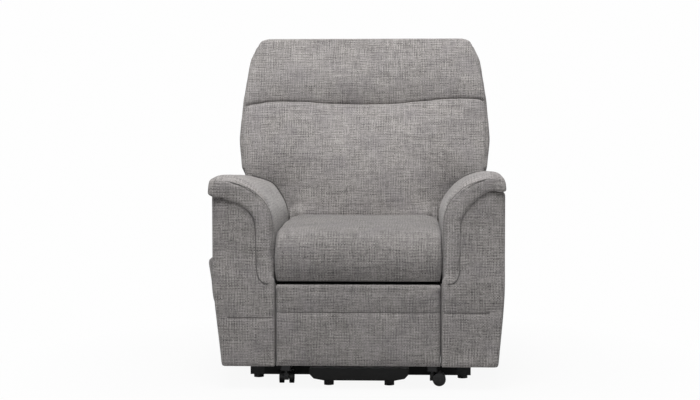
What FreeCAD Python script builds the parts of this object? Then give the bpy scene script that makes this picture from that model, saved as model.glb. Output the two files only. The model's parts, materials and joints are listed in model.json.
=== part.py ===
"""Lift recliner chair with three linear actuators, as a parametric FreeCAD assembly.

Frame: millimetres, +Z up, the front of the chair faces -Y and +X is to the right of someone who
looks at the front.  Y = 0 is the middle of the depth and X = 0 is the plane of symmetry.
Every driving dimension is a cell of the spreadsheet "Sizes"; sketches, pads, placements and
primitives are bound to those cells by expressions, so a changed cell carries through.
"""
import FreeCAD, Part
import os
import re
import Sketcher

V = FreeCAD.Vector
DOC = FreeCAD.newDocument("LiftRecliner")
SHEET = DOC.addObject("Spreadsheet::Sheet", "Sizes")

# ---------------------------------------------------------------- driving dimensions (mm, degrees)
SIZES = {
    # running fits
    "fit": 0.06, "pin_slack": 0.8, "seat_gap": 0.3,
    # base: two rails on a front and a rear cross tube
    "rail_x": 222, "rail_side": 30, "rail_front": -366, "rail_back": 314, "rail_z": 44,
    "tube_wall": 2.5, "cross_front_y": -216, "cross_half": 344, "cross_low": 10,
    "end_cap": 44, "cap_skin": 2, "glide_in": 25, "glide_dia": 31,
    # front stabiliser bar and its rubber feet
    "stab_half": 151, "stab_y": -341, "stab_deep": 30, "stab_low": 14.5, "stab_top": 52,
    "stab_nose": 43, "stab_rise": 19, "leg_x": 92, "leg_wide": 24, "foot_dia": 30,
    # castors
    "castor_front_y": -341, "castor_back_y": 269, "stem_rad": 5, "wheel_rad": 20,
    "wheel_wide": 14, "castor_wide": 44.5, "trail": 21, "axle_rad": 3,
    # side layers, measured outwards from the middle plane
    "bracket_in": 217.5, "bracket_thick": 6, "arm_layer_in": 225, "arm_thick": 6,
    "follow_in": 232.5, "follow_thick": 4.5, "plate_in": 238.5, "plate_thick": 5,
    # lift linkage
    "lift_b_y": -123, "lift_b_z": 125, "lift_d_y": 202, "lift_d_z": 166,
    "lift_a_y": -180.5, "lift_a_z": 88.5, "lift_c_y": 77, "lift_c_z": 109,
    "lift_rad": 16, "follow_rad": 11, "pin_rad": 6, "lift_tube_rad": 15, "journal_rad": 9, "crank_rad": 60,
    "crank_thick": 8,
    # leg rest linkage
    "leg_p1_y": -317, "leg_p1_z": 294, "leg_j1_y": -312, "leg_j1_z": 136,
    "leg_q1_y": -363, "leg_q1_z": 300, "leg_j2_y": -340, "leg_j2_z": 112,
    "leg_p2_y": -356.5, "leg_p2_z": 234, "leg_q2_y": -356, "leg_q2_z": 271,
    "leg_k_y": -305, "leg_k_z": 106, "link_rad": 9, "link_thick": 4, "link_gap": 1,
    "link_pin": 4, "leg_tube_rad": 11, "leg_crank_rad": 34, "leg_crank_y": 21,
    # chassis
    "cross_side": 25, "chassis_front_y": -226, "chassis_front_z": 300,
    "chassis_back_y": 262, "chassis_back_z": 252, "frame_low": 325, "frame_high": 341,
    "frame_front": -419, "frame_back": 74, "frame_wide": 30, "spring_count": 7,
    # seat cushion
    "seat_half": 248, "seat_front": -446, "seat_back": 96, "seat_lip": 324.3, "seat_top": 488,
    "seat_soft": 38, "lip_deep": 24,
    # upholstered arms
    "arm_in": 249, "arm_out": 430, "arm_front": -441, "arm_back": 104, "arm_low": 71,
    "pad_lip": 10, "pad_top": 640, "pad_low": 588, "pad_step": 40, "pad_rise": 145,
    "wing_thick": 35, "wing_back": 364, "wing_top": 598, "wing_end": 435, "wing_low": 71,
    "valance_back": 354, "valance_thick": 18, "valance_top": 385,
    # handset and its pocket
    "pocket_y": -316, "pocket_long": 150, "pocket_low": 258, "pocket_top": 385,
    "pocket_deep": 26, "pocket_skin": 3, "pocket_flare": 6.5, "handset_long": 58,
    "handset_deep": 13, "handset_tall": 112, "button_rad": 9, "button_up": 1.6,
    # back, drawn upright in its own frame and leaned by the rake
    "back_y": 154, "back_z": 400, "rake": 15.6, "back_front": -86, "back_mid": -18,
    "back_rear": 110, "back_shell": 62, "tray_front": -62, "back_low": 40, "cushion_low": 64, "wing_s": 228,
    "head_seam": 452, "back_top": 689, "cushion_top": 684, "back_half": 425, "top_half": 372,
    "soft_half": 411, "low_half": 243, "body_gap": 13, "frame_gap": 23,
    "back_frame_wide": 40, "hinge_in": 231.5, "hinge_thick": 5, "hinge_rad": 16,
    "back_crank": 100,
    # leg rest panel
    "panel_half": 245, "panel_low": 71, "panel_top": 320, "panel_front": -441,
    "panel_back": -396, "board_thick": 12,
    # actuators
    "motor_rad": 24, "outer_rad": 15.5, "rod_rad": 7, "rod_slack": 5.2, "motor_eye": 14, "actuator_pin": 5,
    "lift_motor_y": 299, "lift_motor_z": 100, "back_motor_x": -110, "leg_motor_x": 110,
    "ear_drop": 15, "crank_lead": 4.4, "lift_stroke": 52.7, "back_stroke": 61,
    "leg_stroke": 42.1,
    # control box
    "control_x": 130, "control_long": 150, "control_deep": 42, "control_tall": 66,
    "control_drop": 38,
}


# sizes that follow from others: the arm's lip and flat, the glides under the tube's ends, and the
# back's clearance between the side panels
DERIVED = {
    "pad_out": "(arm_out + pad_lip)",
    "pad_flat": "(arm_out - pad_step)",
    "glide_x": "(cross_half - glide_in)",
    "body_half": "(arm_out - wing_thick - body_gap)",
    "back_frame_half": "(arm_out - wing_thick - frame_gap)",
}


def fill_sheet():
    """Write every driving dimension into the sheet, one row each, with its alias."""
    for row, (name, value) in enumerate(SIZES.items(), start=1):
        SHEET.set(f"A{row}", name)
        SHEET.set(f"B{row}", str(value))
        SHEET.setAlias(f"B{row}", name)
    DOC.recompute()


def bound(text):
    """Turn plain names in an expression into references to the sheet."""
    text = re.sub(r"[a-z_][a-z_0-9]*", lambda m: DERIVED.get(m[0], m[0]), str(text))
    return re.sub(r"[a-z_][a-z_0-9]*", lambda m: f"Sizes.{m[0]}" if m[0] in SIZES else m[0], str(text))


def value(text):
    """The number that an expression in plain names has now."""
    return float(SHEET.evalExpression(bound(text)))


def bind(obj, prop, text):
    """Bind one property of an object to an expression in plain names."""
    obj.setExpression(prop, bound(text))


# ---------------------------------------------------------------- bodies, sketches and features
def new_body(label):
    """An empty body whose label names its part."""
    body = DOC.addObject("PartDesign::Body", label)
    body.Label = label
    return body


def origin_plane(body, role):
    """One of the body's own origin planes."""
    return next(item for item in body.Origin.OriginFeatures if item.Role == role)


def sketch_on(body, role, offset="0"):
    """A sketch on an origin plane, moved along that plane's normal."""
    sketch = body.newObject("Sketcher::SketchObject", "Sketch")
    sketch.AttachmentSupport = [(origin_plane(body, role), "")]
    sketch.MapMode = "FlatFace"
    bind(sketch, "AttachmentOffset.Base.z", offset)
    return sketch


def fix(sketch, kind, where, text):
    """Add one dimension to a sketch and bind it."""
    index = sketch.addConstraint(Sketcher.Constraint(kind, *where, value(text)))
    bind(sketch, f"Constraints[{index}]", text)


def add_circle(sketch, centre, radius):
    """A circle with a bound centre and radius."""
    middle = V(value(centre[0]), value(centre[1]), 0)
    index = sketch.addGeometry(Part.Circle(middle, V(0, 0, 1), value(radius)), False)
    fix(sketch, "DistanceX", (index, 3), centre[0])
    fix(sketch, "DistanceY", (index, 3), centre[1])
    fix(sketch, "Radius", (index,), radius)


def add_outline(sketch, points):
    """A closed run of straight edges through bound points."""
    spots = [V(value(x), value(y), 0) for x, y in points]
    edges = [sketch.addGeometry(Part.LineSegment(a, b), False)
             for a, b in zip(spots, spots[1:] + spots[:1])]
    for before, after in zip(edges[-1:] + edges[:-1], edges):
        sketch.addConstraint(Sketcher.Constraint("Coincident", before, 2, after, 1))
    for edge, (x, y) in zip(edges, points):
        fix(sketch, "DistanceX", (edge, 1), x)
        fix(sketch, "DistanceY", (edge, 1), y)


def add_rectangle(sketch, x_low, x_high, y_low, y_high):
    """An upright rectangle between four bound limits."""
    add_outline(sketch, [(x_low, y_low), (x_high, y_low), (x_high, y_high), (x_low, y_high)])


def add_link(sketch, first, second, radius):
    """The round-ended outline of a link between two bound pivots."""
    a, b = V(value(first[0]), value(first[1]), 0), V(value(second[0]), value(second[1]), 0)
    rad, way = value(radius), (b - a).normalize()
    side = V(-way.y, way.x, 0) * rad
    curves = [Part.Arc(a + side, a - way * rad, a - side), Part.LineSegment(a - side, b - side),
              Part.Arc(b - side, b + way * rad, b + side), Part.LineSegment(b + side, a + side)]
    left, low, right, high = (sketch.addGeometry(curve, False) for curve in curves)
    for before, after in ((left, low), (low, right), (right, high), (high, left)):
        sketch.addConstraint(Sketcher.Constraint("Tangent", before, 2, after, 1))
    sketch.addConstraint(Sketcher.Constraint("Equal", left, right))
    for arc, spot in ((left, first), (right, second)):
        fix(sketch, "DistanceX", (arc, 3), spot[0])
        fix(sketch, "DistanceY", (arc, 3), spot[1])
    fix(sketch, "Radius", (left,), radius)


def pad(body, sketch, length):
    """Pad a sketch along its normal by a bound length."""
    feature = body.newObject("PartDesign::Pad", "Pad")
    feature.Profile = sketch
    feature.Length = value(length)
    bind(feature, "Length", length)
    sketch.Visibility = False
    return feature


def pocket(body, sketch, length, reverse=False):
    """Cut a sketch into the body; reversed cuts run along the sketch's normal."""
    feature = body.newObject("PartDesign::Pocket", "Pocket")
    feature.Profile = sketch
    feature.Length = value(length)
    feature.Reversed = reverse
    bind(feature, "Length", length)
    return feature


def round_edges(body, feature, radius, pick):
    """Fillet those edges of a feature whose middle satisfies pick."""
    DOC.recompute()
    names = [f"Edge{number}" for number, edge in enumerate(feature.Shape.Edges, start=1)
             if pick(edge)]
    fillet = body.newObject("PartDesign::Fillet", "Fillet")
    fillet.Base = (feature, names)
    fillet.Radius = value(radius)
    bind(fillet, "Radius", radius)
    return fillet


def mirror(body, features):
    """Repeat features on the other side of the middle plane."""
    feature = body.newObject("PartDesign::Mirrored", "Mirrored")
    feature.Originals = features
    feature.MirrorPlane = (origin_plane(body, "YZ_Plane"), [""])
    body.Tip = feature
    return feature


def layer(sign, inner, outer):
    """The sketch offset and the thickness of a side layer, on either side of the middle."""
    start = inner if sign > 0 else f"-({outer})"
    return start, f"({outer}) - ({inner})"


def side_disc(body, sign, centre, radius, inner, outer):
    """Pad a disc that fills a side layer, seen from the side."""
    start, thick = layer(sign, inner, outer)
    sketch = sketch_on(body, "YZ_Plane", start)
    add_circle(sketch, centre, radius)
    return pad(body, sketch, thick)


def side_link(body, first, second, radius, inner, outer, holes, sign=1):
    """A flat link in a side layer with a hole at each listed (pivot, hole radius)."""
    start, thick = layer(sign, inner, outer)
    sketch = sketch_on(body, "YZ_Plane", start)
    add_link(sketch, first, second, radius)
    for spot, hole in holes:
        add_circle(sketch, spot, hole)
    return pad(body, sketch, thick)


def box(label, x, y, z):
    """A box primitive between bound limits along each axis."""
    block = DOC.addObject("Part::Box", label)
    block.Label = label
    for side, (low, high) in zip(("Length", "Width", "Height"), (x, y, z)):
        bind(block, side, f"({high}) - ({low})")
    for axis, (low, _) in zip("xyz", (x, y, z)):
        bind(block, f"Placement.Base.{axis}", low)
    return block


def cylinder(label, axis, centre, radius, length):
    """A cylinder primitive that starts at a bound point and runs along +X, +Y or +Z."""
    rod = DOC.addObject("Part::Cylinder", label)
    rod.Label = label
    turns = {"x": FreeCAD.Rotation(V(0, 1, 0), 90), "y": FreeCAD.Rotation(V(1, 0, 0), -90),
             "z": FreeCAD.Rotation()}
    rod.Placement = FreeCAD.Placement(V(0, 0, 0), turns[axis])
    bind(rod, "Radius", radius)
    bind(rod, "Height", length)
    for name, text in zip("xyz", centre):
        bind(rod, f"Placement.Base.{name}", text)
    return rod


def fuse(label, shapes):
    """Join primitives into one part."""
    joined = DOC.addObject("Part::MultiFuse", label)
    joined.Label = label
    joined.Shapes = shapes
    return joined


def cut(label, base, tool):
    """Cut one primitive from another."""
    result = DOC.addObject("Part::Cut", label)
    result.Label = label
    result.Base, result.Tool = base, tool
    return result


def group(label, shapes):
    """Keep separate solids together as one part."""
    together = DOC.addObject("Part::Compound", label)
    together.Label = label
    together.Links = shapes
    return together


def tube_along(body, role, centre, side, wall, start, length):
    """A square tube: its section on an origin plane, padded along the plane's normal."""
    sketch = sketch_on(body, role, start)
    for half in (f"{side} / 2", f"{side} / 2 - {wall}"):
        add_rectangle(sketch, f"{centre[0]} - ({half})", f"{centre[0]} + {half}",
                      f"{centre[1]} - ({half})", f"{centre[1]} + {half}")
    return pad(body, sketch, length)


# ---------------------------------------------------------------- base
RAIL_TOP = "rail_z + rail_side"


def base_rails():
    """Two hollow floor rails; castor stems pass through a hole in each bottom wall."""
    body = new_body("base_rails")
    rail = tube_along(body, "XZ_Plane", ("rail_x", "rail_z + rail_side / 2"), "rail_side",
                      "tube_wall", "-rail_back", "rail_back - rail_front")
    holes = sketch_on(body, "XY_Plane", "rail_z")
    for place in ("castor_front_y", "castor_back_y"):
        add_circle(holes, ("rail_x", place), "stem_rad + fit")
    drilled = pocket(body, holes, "tube_wall", reverse=True)
    mirror(body, [rail, drilled])
    return body


def cross_tubes():
    """The front cross tube under the rails and the rear one between them, with motor ears."""
    front = new_body("base_cross_tube_front")
    sketch = sketch_on(front, "YZ_Plane", "-cross_half + end_cap")
    for inset in ("0", "tube_wall"):
        add_rectangle(sketch, f"cross_front_y - 15 + {inset}", f"cross_front_y + 15 - {inset}",
                      f"cross_low + {inset}", f"rail_z - {inset}")
    pad(front, sketch, "2 * (cross_half - end_cap)")
    rear = new_body("base_cross_tube_rear")
    tube_along(rear, "YZ_Plane", ("rail_back - rail_side / 2", "rail_z + rail_side / 2"),
               "rail_side", "tube_wall", "-rail_x + rail_side / 2", "2 * rail_x - rail_side")
    motor_ears(rear, ("lift_motor_y", "lift_motor_z"), "0", RAIL_TOP, 1)
    return front, rear


def motor_ears(body, pivot, middle, seat, way):
    """Two ears with a pin between them that carry an actuator's rear eye.

    The ears stand on the level given by seat, above it where way is 1 and below it where it is -1.
    """
    ear = "actuator_pin + 6"
    for start in (f"{middle} - motor_eye / 2 - 4.5", f"{middle} + motor_eye / 2 + 0.5"):
        sketch = sketch_on(body, "YZ_Plane", start)
        spots = [(f"{pivot[0]} - {ear}", seat), (f"{pivot[0]} + {ear}", seat),
                 (f"{pivot[0]} + {ear}", f"{pivot[1]} + {way} * ({ear})"),
                 (f"{pivot[0]} - {ear}", f"{pivot[1]} + {way} * ({ear})")]
        add_outline(sketch, spots if way > 0 else spots[::-1])
        pad(body, sketch, "4")
    pin = sketch_on(body, "YZ_Plane", f"{middle} - motor_eye / 2 - 4.5")
    add_circle(pin, pivot, "actuator_pin")
    pad(body, pin, "motor_eye + 9")


def end_caps():
    """Plastic end caps: four plugs in the rails and two sleeves on the front cross tube."""
    parts = []
    for sign, name in ((-1, "left"), (1, "right")):
        outer, inner = f"{sign} * cross_half", f"{sign} * (cross_half - end_cap)"
        low, high = (outer, inner) if sign < 0 else (inner, outer)
        parts.append(box(f"sleeve_{name}", (low, high), ("cross_front_y - 15", "cross_front_y + 15"),
                         ("cross_low", "rail_z")))
        half = "rail_side / 2 - tube_wall - fit"
        for end, place in (("front", "rail_front"), ("back", "rail_back - 12")):
            parts.append(box(f"plug_{end}_{name}",
                             (f"{sign} * rail_x - ({half})", f"{sign} * rail_x + {half}"),
                             (place, f"{place} + 12"),
                             (f"rail_z + rail_side / 2 - ({half})",
                              f"rail_z + rail_side / 2 + {half}")))
    return group("tube_end_caps", parts)


def glides():
    """Round glides under the ends of the front cross tube."""
    return group("cross_tube_glides", [
        cylinder(f"glide_{name}", "z", (f"{sign} * glide_x", "cross_front_y", "0"),
                 "glide_dia / 2", "cross_low") for sign, name in ((-1, "left"), (1, "right"))])


def stabiliser():
    """The front bar with rounded lower corners, on two legs from the front cross tube."""
    body = new_body("front_stabiliser")
    sketch = sketch_on(body, "XZ_Plane", "-(stab_y + stab_deep / 2)")
    add_outline(sketch, [("-stab_half + stab_nose", "stab_low"), ("stab_half - stab_nose", "stab_low"),
                         ("stab_half - stab_nose * 0.3", "stab_low + stab_rise * 0.29"),
                         ("stab_half", "stab_low + stab_rise"), ("stab_half", "stab_top"),
                         ("-stab_half", "stab_top"), ("-stab_half", "stab_low + stab_rise"),
                         ("-stab_half + stab_nose * 0.3", "stab_low + stab_rise * 0.29")])
    bar = pad(body, sketch, "stab_deep")
    leg = sketch_on(body, "XZ_Plane", "-(cross_front_y - 15)")
    for sign in (-1, 1):
        add_rectangle(leg, f"{sign} * leg_x - leg_wide / 2", f"{sign} * leg_x + leg_wide / 2",
                      "stab_low + 6", "rail_z - 2")
    pad(body, leg, "cross_front_y - 15 - stab_y")
    return body, bar


def stabiliser_feet():
    """Two rubber feet under the front bar."""
    return group("stabiliser_feet", [
        cylinder(f"foot_{name}", "z", (f"{sign} * leg_x", "stab_y", "0"), "foot_dia / 2",
                 "stab_low") for sign, name in ((-1, "left"), (1, "right"))])


def pivot_brackets():
    """The base brackets on the rails, with a bore for the torque tube and the follower's stud."""
    body = new_body("base_pivot_brackets")
    sketch = sketch_on(body, "YZ_Plane", "bracket_in")
    add_outline(sketch, [("lift_a_y - 30", RAIL_TOP), ("lift_b_y + 50", RAIL_TOP),
                         ("lift_b_y + 18", "lift_b_z + 8"), ("lift_b_y + 8", "lift_b_z + 18"),
                         ("lift_b_y - 8", "lift_b_z + 18"), ("lift_a_y - 8", "lift_a_z + 14"),
                         ("lift_a_y - 22", "lift_a_z + 4")])
    add_circle(sketch, ("lift_b_y", "lift_b_z"), "journal_rad + fit")
    plate = pad(body, sketch, "bracket_thick")
    boss = side_disc(body, 1, ("lift_a_y", "lift_a_z"), "pin_rad + 4",
                     "bracket_in + bracket_thick", "follow_in - 0.5")
    stud_a = side_disc(body, 1, ("lift_a_y", "lift_a_z"), "pin_rad", "follow_in - 0.5",
                       "follow_in + follow_thick")
    mirror(body, [plate, boss, stud_a])
    return body


# ---------------------------------------------------------------- castors
CASTORS = {"fl": (-1, "castor_front_y", 0, 1), "fr": (1, "castor_front_y", 1, 0),
           "rl": (-1, "castor_back_y", 0, 1), "rr": (1, "castor_back_y", 0, 1)}


def castor(name):
    """A twin-wheel castor: its swivel stem, hub and axle, and its pair of wheels.

    The wheel trails along +X where along is 1 and along +Y where across is 1.
    """
    sign, place, along, across = CASTORS[name]
    stem_x = f"{sign} * rail_x"
    hub = (f"{stem_x} + {along} * trail", f"{place} + {across} * trail")
    turn = "y" if along else "x"
    wide = "castor_wide / 2"
    stem = cylinder(f"stem_{name}", "z", (stem_x, place, "wheel_rad"), "stem_rad",
                    "rail_z + tube_wall + 6 - wheel_rad")
    gap = "castor_wide / 2 - wheel_wide - 1"
    reach = "trail + axle_rad + 3"
    if along:
        neck = box(f"neck_{name}", (f"{stem_x} - 7", f"{stem_x} + {reach}"),
                   (f"{place} - ({gap})", f"{place} + {gap}"), ("wheel_rad - 6", "wheel_rad + 14"))
        start = (hub[0], f"{hub[1]} - {wide}", "wheel_rad")
    else:
        neck = box(f"neck_{name}", (f"{stem_x} - ({gap})", f"{stem_x} + {gap}"),
                   (f"{place} - 7", f"{place} + {reach}"), ("wheel_rad - 6", "wheel_rad + 14"))
        start = (f"{hub[0]} - {wide}", hub[1], "wheel_rad")
    axle = cylinder(f"axle_{name}", turn, start, "axle_rad", "castor_wide")
    fork = fuse(f"castor_fork_{name}", [stem, neck, axle])
    rings = []
    for number, shift in enumerate(("0", "castor_wide - wheel_wide")):
        spot = (start[0], f"{start[1]} + {shift}", start[2]) if along else \
               (f"{start[0]} + {shift}", start[1], start[2])
        tyre = cylinder(f"tyre_{name}_{number}", turn, spot, "wheel_rad", "wheel_wide")
        bore = cylinder(f"bore_{name}_{number}", turn, spot, "axle_rad + fit", "wheel_wide")
        rings.append(cut(f"ring_{name}_{number}", tyre, bore))
    return fork, group(f"castor_wheels_{name}", rings)


# ---------------------------------------------------------------- lift linkage
def lift_arms():
    """The two main lift arms, welded to the ends of one torque tube with the lift crank."""
    for sign, name in ((-1, "left"), (1, "right")):
        arm = new_body(f"lift_arm_{name}")
        side_link(arm, ("lift_b_y", "lift_b_z"), ("lift_d_y", "lift_d_z"), "lift_rad",
                  "arm_layer_in", "arm_layer_in + arm_thick",
                  [(("lift_d_y", "lift_d_z"), "pin_rad + fit")], sign)
    tube = new_body("lift_torque_tube")
    for radius, half in (("lift_tube_rad", "bracket_in - link_gap"), ("journal_rad", "arm_layer_in")):
        sketch = sketch_on(tube, "YZ_Plane", f"-({half})")
        add_circle(sketch, ("lift_b_y", "lift_b_z"), radius)
        pad(tube, sketch, f"2 * ({half})")
    crank_pair(tube, ("lift_b_y", "lift_b_z"), LIFT_CRANK, "0", "lift_tube_rad - 1")


LIFT_CRANK = ("lift_b_y + crank_rad * cos(63.3)", "lift_b_z + crank_rad * sin(63.3)")
LEG_CRANK = ("leg_p1_y + leg_crank_y", "leg_p1_z - sqrt(leg_crank_rad ^ 2 - leg_crank_y ^ 2)")
BACK_CRANK = ("10", "-back_crank")


def crank_pair(body, centre, tip, middle, root):
    """Two crank cheeks on a torque tube and the pin between them for a rod end."""
    for start in (f"{middle} - rod_rad - 0.5 - crank_thick / 2", f"{middle} + rod_rad + 0.5"):
        sketch = sketch_on(body, "YZ_Plane", start)
        add_link(sketch, centre, tip, "actuator_pin + 5")
        add_circle(sketch, centre, root)
        pad(body, sketch, "crank_thick / 2")
    pin = sketch_on(body, "YZ_Plane", f"{middle} - rod_rad - 0.5 - crank_thick / 2")
    add_circle(pin, tip, "actuator_pin")
    pad(body, pin, "2 * rod_rad + 1 + crank_thick")


def follower_links():
    """The lower links that steer the chassis; their rear hole has slack."""
    body = new_body("lift_follower_links")
    link = side_link(body, ("lift_a_y", "lift_a_z"), ("lift_c_y", "lift_c_z"), "follow_rad",
                     "follow_in", "follow_in + follow_thick",
                     [(("lift_a_y", "lift_a_z"), "pin_rad + fit"),
                      (("lift_c_y", "lift_c_z"), "pin_rad + pin_slack")])
    mirror(body, [link])
    return body


# ---------------------------------------------------------------- chassis
LAYERS = {1: "plate_in - link_gap - link_thick", 2: "plate_in - 2 * (link_gap + link_thick)",
          3: "plate_in - 3 * (link_gap + link_thick)", 4: "plate_in - 4 * (link_gap + link_thick)"}


def layer_span(number):
    """Inner and outer limits of a leg rest link layer."""
    return LAYERS[number], f"{LAYERS[number]} + link_thick"


def mechanism_plates():
    """The two steel side plates with their riveted studs and arm standoffs."""
    for sign, name in ((-1, "left"), (1, "right")):
        body = new_body(f"mechanism_plate_{name}")
        start, thick = layer(sign, "plate_in", "plate_in + plate_thick")
        sketch = sketch_on(body, "YZ_Plane", start)
        add_outline(sketch, [
            ("frame_front", "frame_high"), ("frame_front", "panel_top + 4"),
            ("panel_back - 6", "panel_top + 4"), ("leg_p2_y - 16", "leg_p2_z - 6"), ("leg_p2_y - 4", "leg_p2_z - 15"),
            ("leg_p2_y + 12", "leg_p2_z - 10"), ("leg_p1_y + 40", "leg_p1_z - 30"),
            ("lift_c_y - 80", "lift_c_z + 110"), ("lift_c_y - 16", "lift_c_z - 8"),
            ("lift_c_y", "lift_c_z - 16"), ("lift_c_y + 16", "lift_c_z - 8"),
            ("lift_d_y - 40", "lift_d_z - 12"), ("lift_d_y", "lift_d_z - 22"),
            ("lift_d_y + 24", "lift_d_z - 4"), ("chassis_back_y + 18", "chassis_back_z - 18"),
            ("chassis_back_y + 18", "chassis_back_z + 20"), ("back_y + 40", "back_z - 50"),
            ("back_y + 20", "back_z + 10"), ("back_y + 8", "back_z + 20"),
            ("back_y - 8", "back_z + 20"), ("back_y - 20", "back_z + 10"),
            ("back_y - 34", "frame_high")])
        pad(body, sketch, thick)
        studs = [("lift_c_y", "lift_c_z", "pin_rad", "follow_in"),
                 ("lift_d_y", "lift_d_z", "pin_rad", "arm_layer_in"),
                 ("leg_p2_y", "leg_p2_z", "link_pin", LAYERS[1]),
                 ("leg_p1_y", "leg_p1_z", "pin_rad", LAYERS[3]),
                 ("back_y", "back_z", "pin_rad", "hinge_in")]
        for y, z, radius, inner in studs:
            side_disc(body, sign, (y, z), radius, inner, "plate_in")
        for y, z in (("leg_p1_y", "frame_high - 16"), ("lift_b_y", "frame_high - 20"),
                     ("lift_c_y", "frame_high - 20")):
            side_disc(body, sign, (y, z), "11", "plate_in + plate_thick", "arm_in")


def chassis_tubes():
    """The front and rear cross tubes between the side plates, with actuator ears."""
    front = new_body("chassis_cross_tube_front")
    tube_along(front, "YZ_Plane", ("chassis_front_y", "chassis_front_z"), "cross_side",
               "tube_wall", "-plate_in", "2 * plate_in")
    motor_ears(front, BACK_MOTOR, "back_motor_x", "chassis_front_z - cross_side / 2", -1)
    rear = new_body("chassis_cross_tube_rear")
    tube_along(rear, "YZ_Plane", ("chassis_back_y", "chassis_back_z"), "cross_side",
               "tube_wall", "-plate_in", "2 * plate_in")
    motor_ears(rear, LEG_MOTOR, "leg_motor_x", "chassis_back_z + cross_side / 2", 1)


def seat_frame():
    """The welded seat frame, seated between the side plates."""
    body = new_body("seat_frame")
    sketch = sketch_on(body, "XY_Plane", "frame_low")
    for inset in ("0", "frame_wide"):
        add_rectangle(sketch, f"-plate_in + {inset}", f"plate_in - {inset}",
                      f"frame_front + {inset}", f"frame_back - {inset}")
    return pad(body, sketch, "frame_high - frame_low")


def seat_springs():
    """Sinuous springs across the seat frame, as slim straps seated on its side rails."""
    straps = []
    step = "(frame_back - frame_front - 2 * frame_wide) / spring_count"
    for number in range(int(value("spring_count"))):
        place = f"frame_front + frame_wide + ({number} + 0.5) * {step}"
        straps.append(box(f"spring_{number}", ("-plate_in + frame_wide", "plate_in - frame_wide"),
                          (f"{place} - 4", f"{place} + 4"), ("frame_low + 4", "frame_low + 8")))
    return group("seat_springs", straps)


def seat_cushion():
    """The seat cushion: a crowned block whose front lip hangs before the frame."""
    body = new_body("seat_cushion")
    sketch = sketch_on(body, "YZ_Plane", "-seat_half")
    low = "frame_high + seat_gap"
    add_outline(sketch, [
        ("seat_front + 3", "seat_lip"), ("seat_front + lip_deep", "seat_lip"),
        ("seat_front + lip_deep", low), ("seat_back", low), ("seat_back", "seat_top - 12"),
        ("seat_back - 30", "seat_top - 5"), ("seat_front + 220", "seat_top"),
        ("seat_front + 70", "seat_top - 6"), ("seat_front + 22", "seat_top - 22"),
        ("seat_front", "seat_top - 60")])
    block = pad(body, sketch, "2 * seat_half")
    round_edges(body, block, "seat_soft / 2",
                lambda e: abs(abs(mid(e).x) - value("seat_half")) < 0.5
                and mid(e).z > value("seat_top - 50"))
    return body


def mid(edge):
    """The middle point of an edge."""
    return edge.valueAt((edge.FirstParameter + edge.LastParameter) / 2)


# ---------------------------------------------------------------- arms, valance, pocket
def arm_bodies():
    """The upholstered arm boxes, each with the thin side panel that runs on behind it."""
    for sign, name in ((-1, "left"), (1, "right")):
        body = new_body(f"arm_{name}")
        low, high = ("arm_in", "arm_out") if sign > 0 else ("-arm_out", "-arm_in")
        sketch = sketch_on(body, "XZ_Plane", "-arm_back")
        add_rectangle(sketch, low, high, "arm_low", "pad_top - pad_rise")
        pad(body, sketch, "arm_back - arm_front")
        crown = sketch_on(body, "XZ_Plane", "-arm_back")
        outline = [("arm_in", "pad_top - pad_rise"), ("arm_out", "pad_top - pad_rise"),
                   ("arm_out", "pad_low"), ("arm_in + 60", "pad_low"),
                   ("arm_in + 24", "pad_top - pad_rise * 0.66")]
        add_outline(crown, [(f"{sign} * ({x})", z) for x, z in outline])
        pad(body, crown, "arm_back - arm_front")
        start, thick = layer(sign, "arm_out - wing_thick", "arm_out")
        wing = sketch_on(body, "YZ_Plane", start)
        add_outline(wing, [("arm_back", "wing_low"), ("wing_back", "wing_low"),
                           ("wing_back", "wing_end"), ("arm_back + 20", "wing_top"),
                           ("arm_back", "wing_top")])
        pad(body, wing, thick)


def arm_pads():
    """The padded arm tops: flat outside, rolling over to the seat side in a quarter ellipse."""
    for sign, name in ((-1, "left"), (1, "right")):
        body = new_body(f"arm_pad_{name}")
        sketch = sketch_on(body, "XZ_Plane", "-arm_back")
        roll = "(pad_flat - arm_in)"
        outline = [("pad_out", "pad_low"), ("pad_out", "pad_top - 10"), ("pad_out - 10", "pad_top")]
        outline += [(f"pad_flat - {roll} * sin({turn})", f"pad_top - pad_rise * (1 - cos({turn}))")
                    for turn in (0, 25, 50, 70, 90)]
        outline += [("arm_in + 24", "pad_top - pad_rise * 0.66"), ("arm_in + 60", "pad_low")]
        add_outline(sketch, [(f"{sign} * ({x})", z) for x, z in outline])
        pad(body, sketch, "arm_back - arm_front")


def valance():
    """The rear panel between the side panels."""
    side = "(arm_out - wing_thick)"
    return box("rear_valance", (f"-{side}", side), ("valance_back - valance_thick", "valance_back"),
               ("wing_low", "valance_top"))


def handset_pocket():
    """The open pouch on the outside of the left arm."""
    body = new_body("handset_pocket")
    sketch = sketch_on(body, "XY_Plane", "pocket_low")
    front, back = "pocket_y - pocket_long / 2", "pocket_y + pocket_long / 2"
    outer = "-(arm_out + pocket_deep)"
    add_outline(sketch, [("-arm_out", front), ("-arm_out", back), (outer, f"{back} - 20"),
                         (outer, f"{front} + 20")])
    pad(body, sketch, "pocket_top - pocket_low")
    inside = sketch_on(body, "XY_Plane", "pocket_low + pocket_skin")
    add_rectangle(inside, f"{outer} + pocket_flare + pocket_skin", "-arm_out", f"{front} + 22",
                  f"{back} - 22")
    pocket(body, inside, "pocket_top - pocket_low", reverse=True)
    slope = sketch_on(body, "XZ_Plane", f"-({back} + 1)")
    add_outline(slope, [(f"{outer} - 1", "pocket_top - 20"), (f"{outer} - 1", "pocket_low - 1"),
                        (f"{outer} + pocket_flare", "pocket_low - 1")])
    pocket(body, slope, "pocket_long + 2", reverse=True)
    return body


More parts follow.
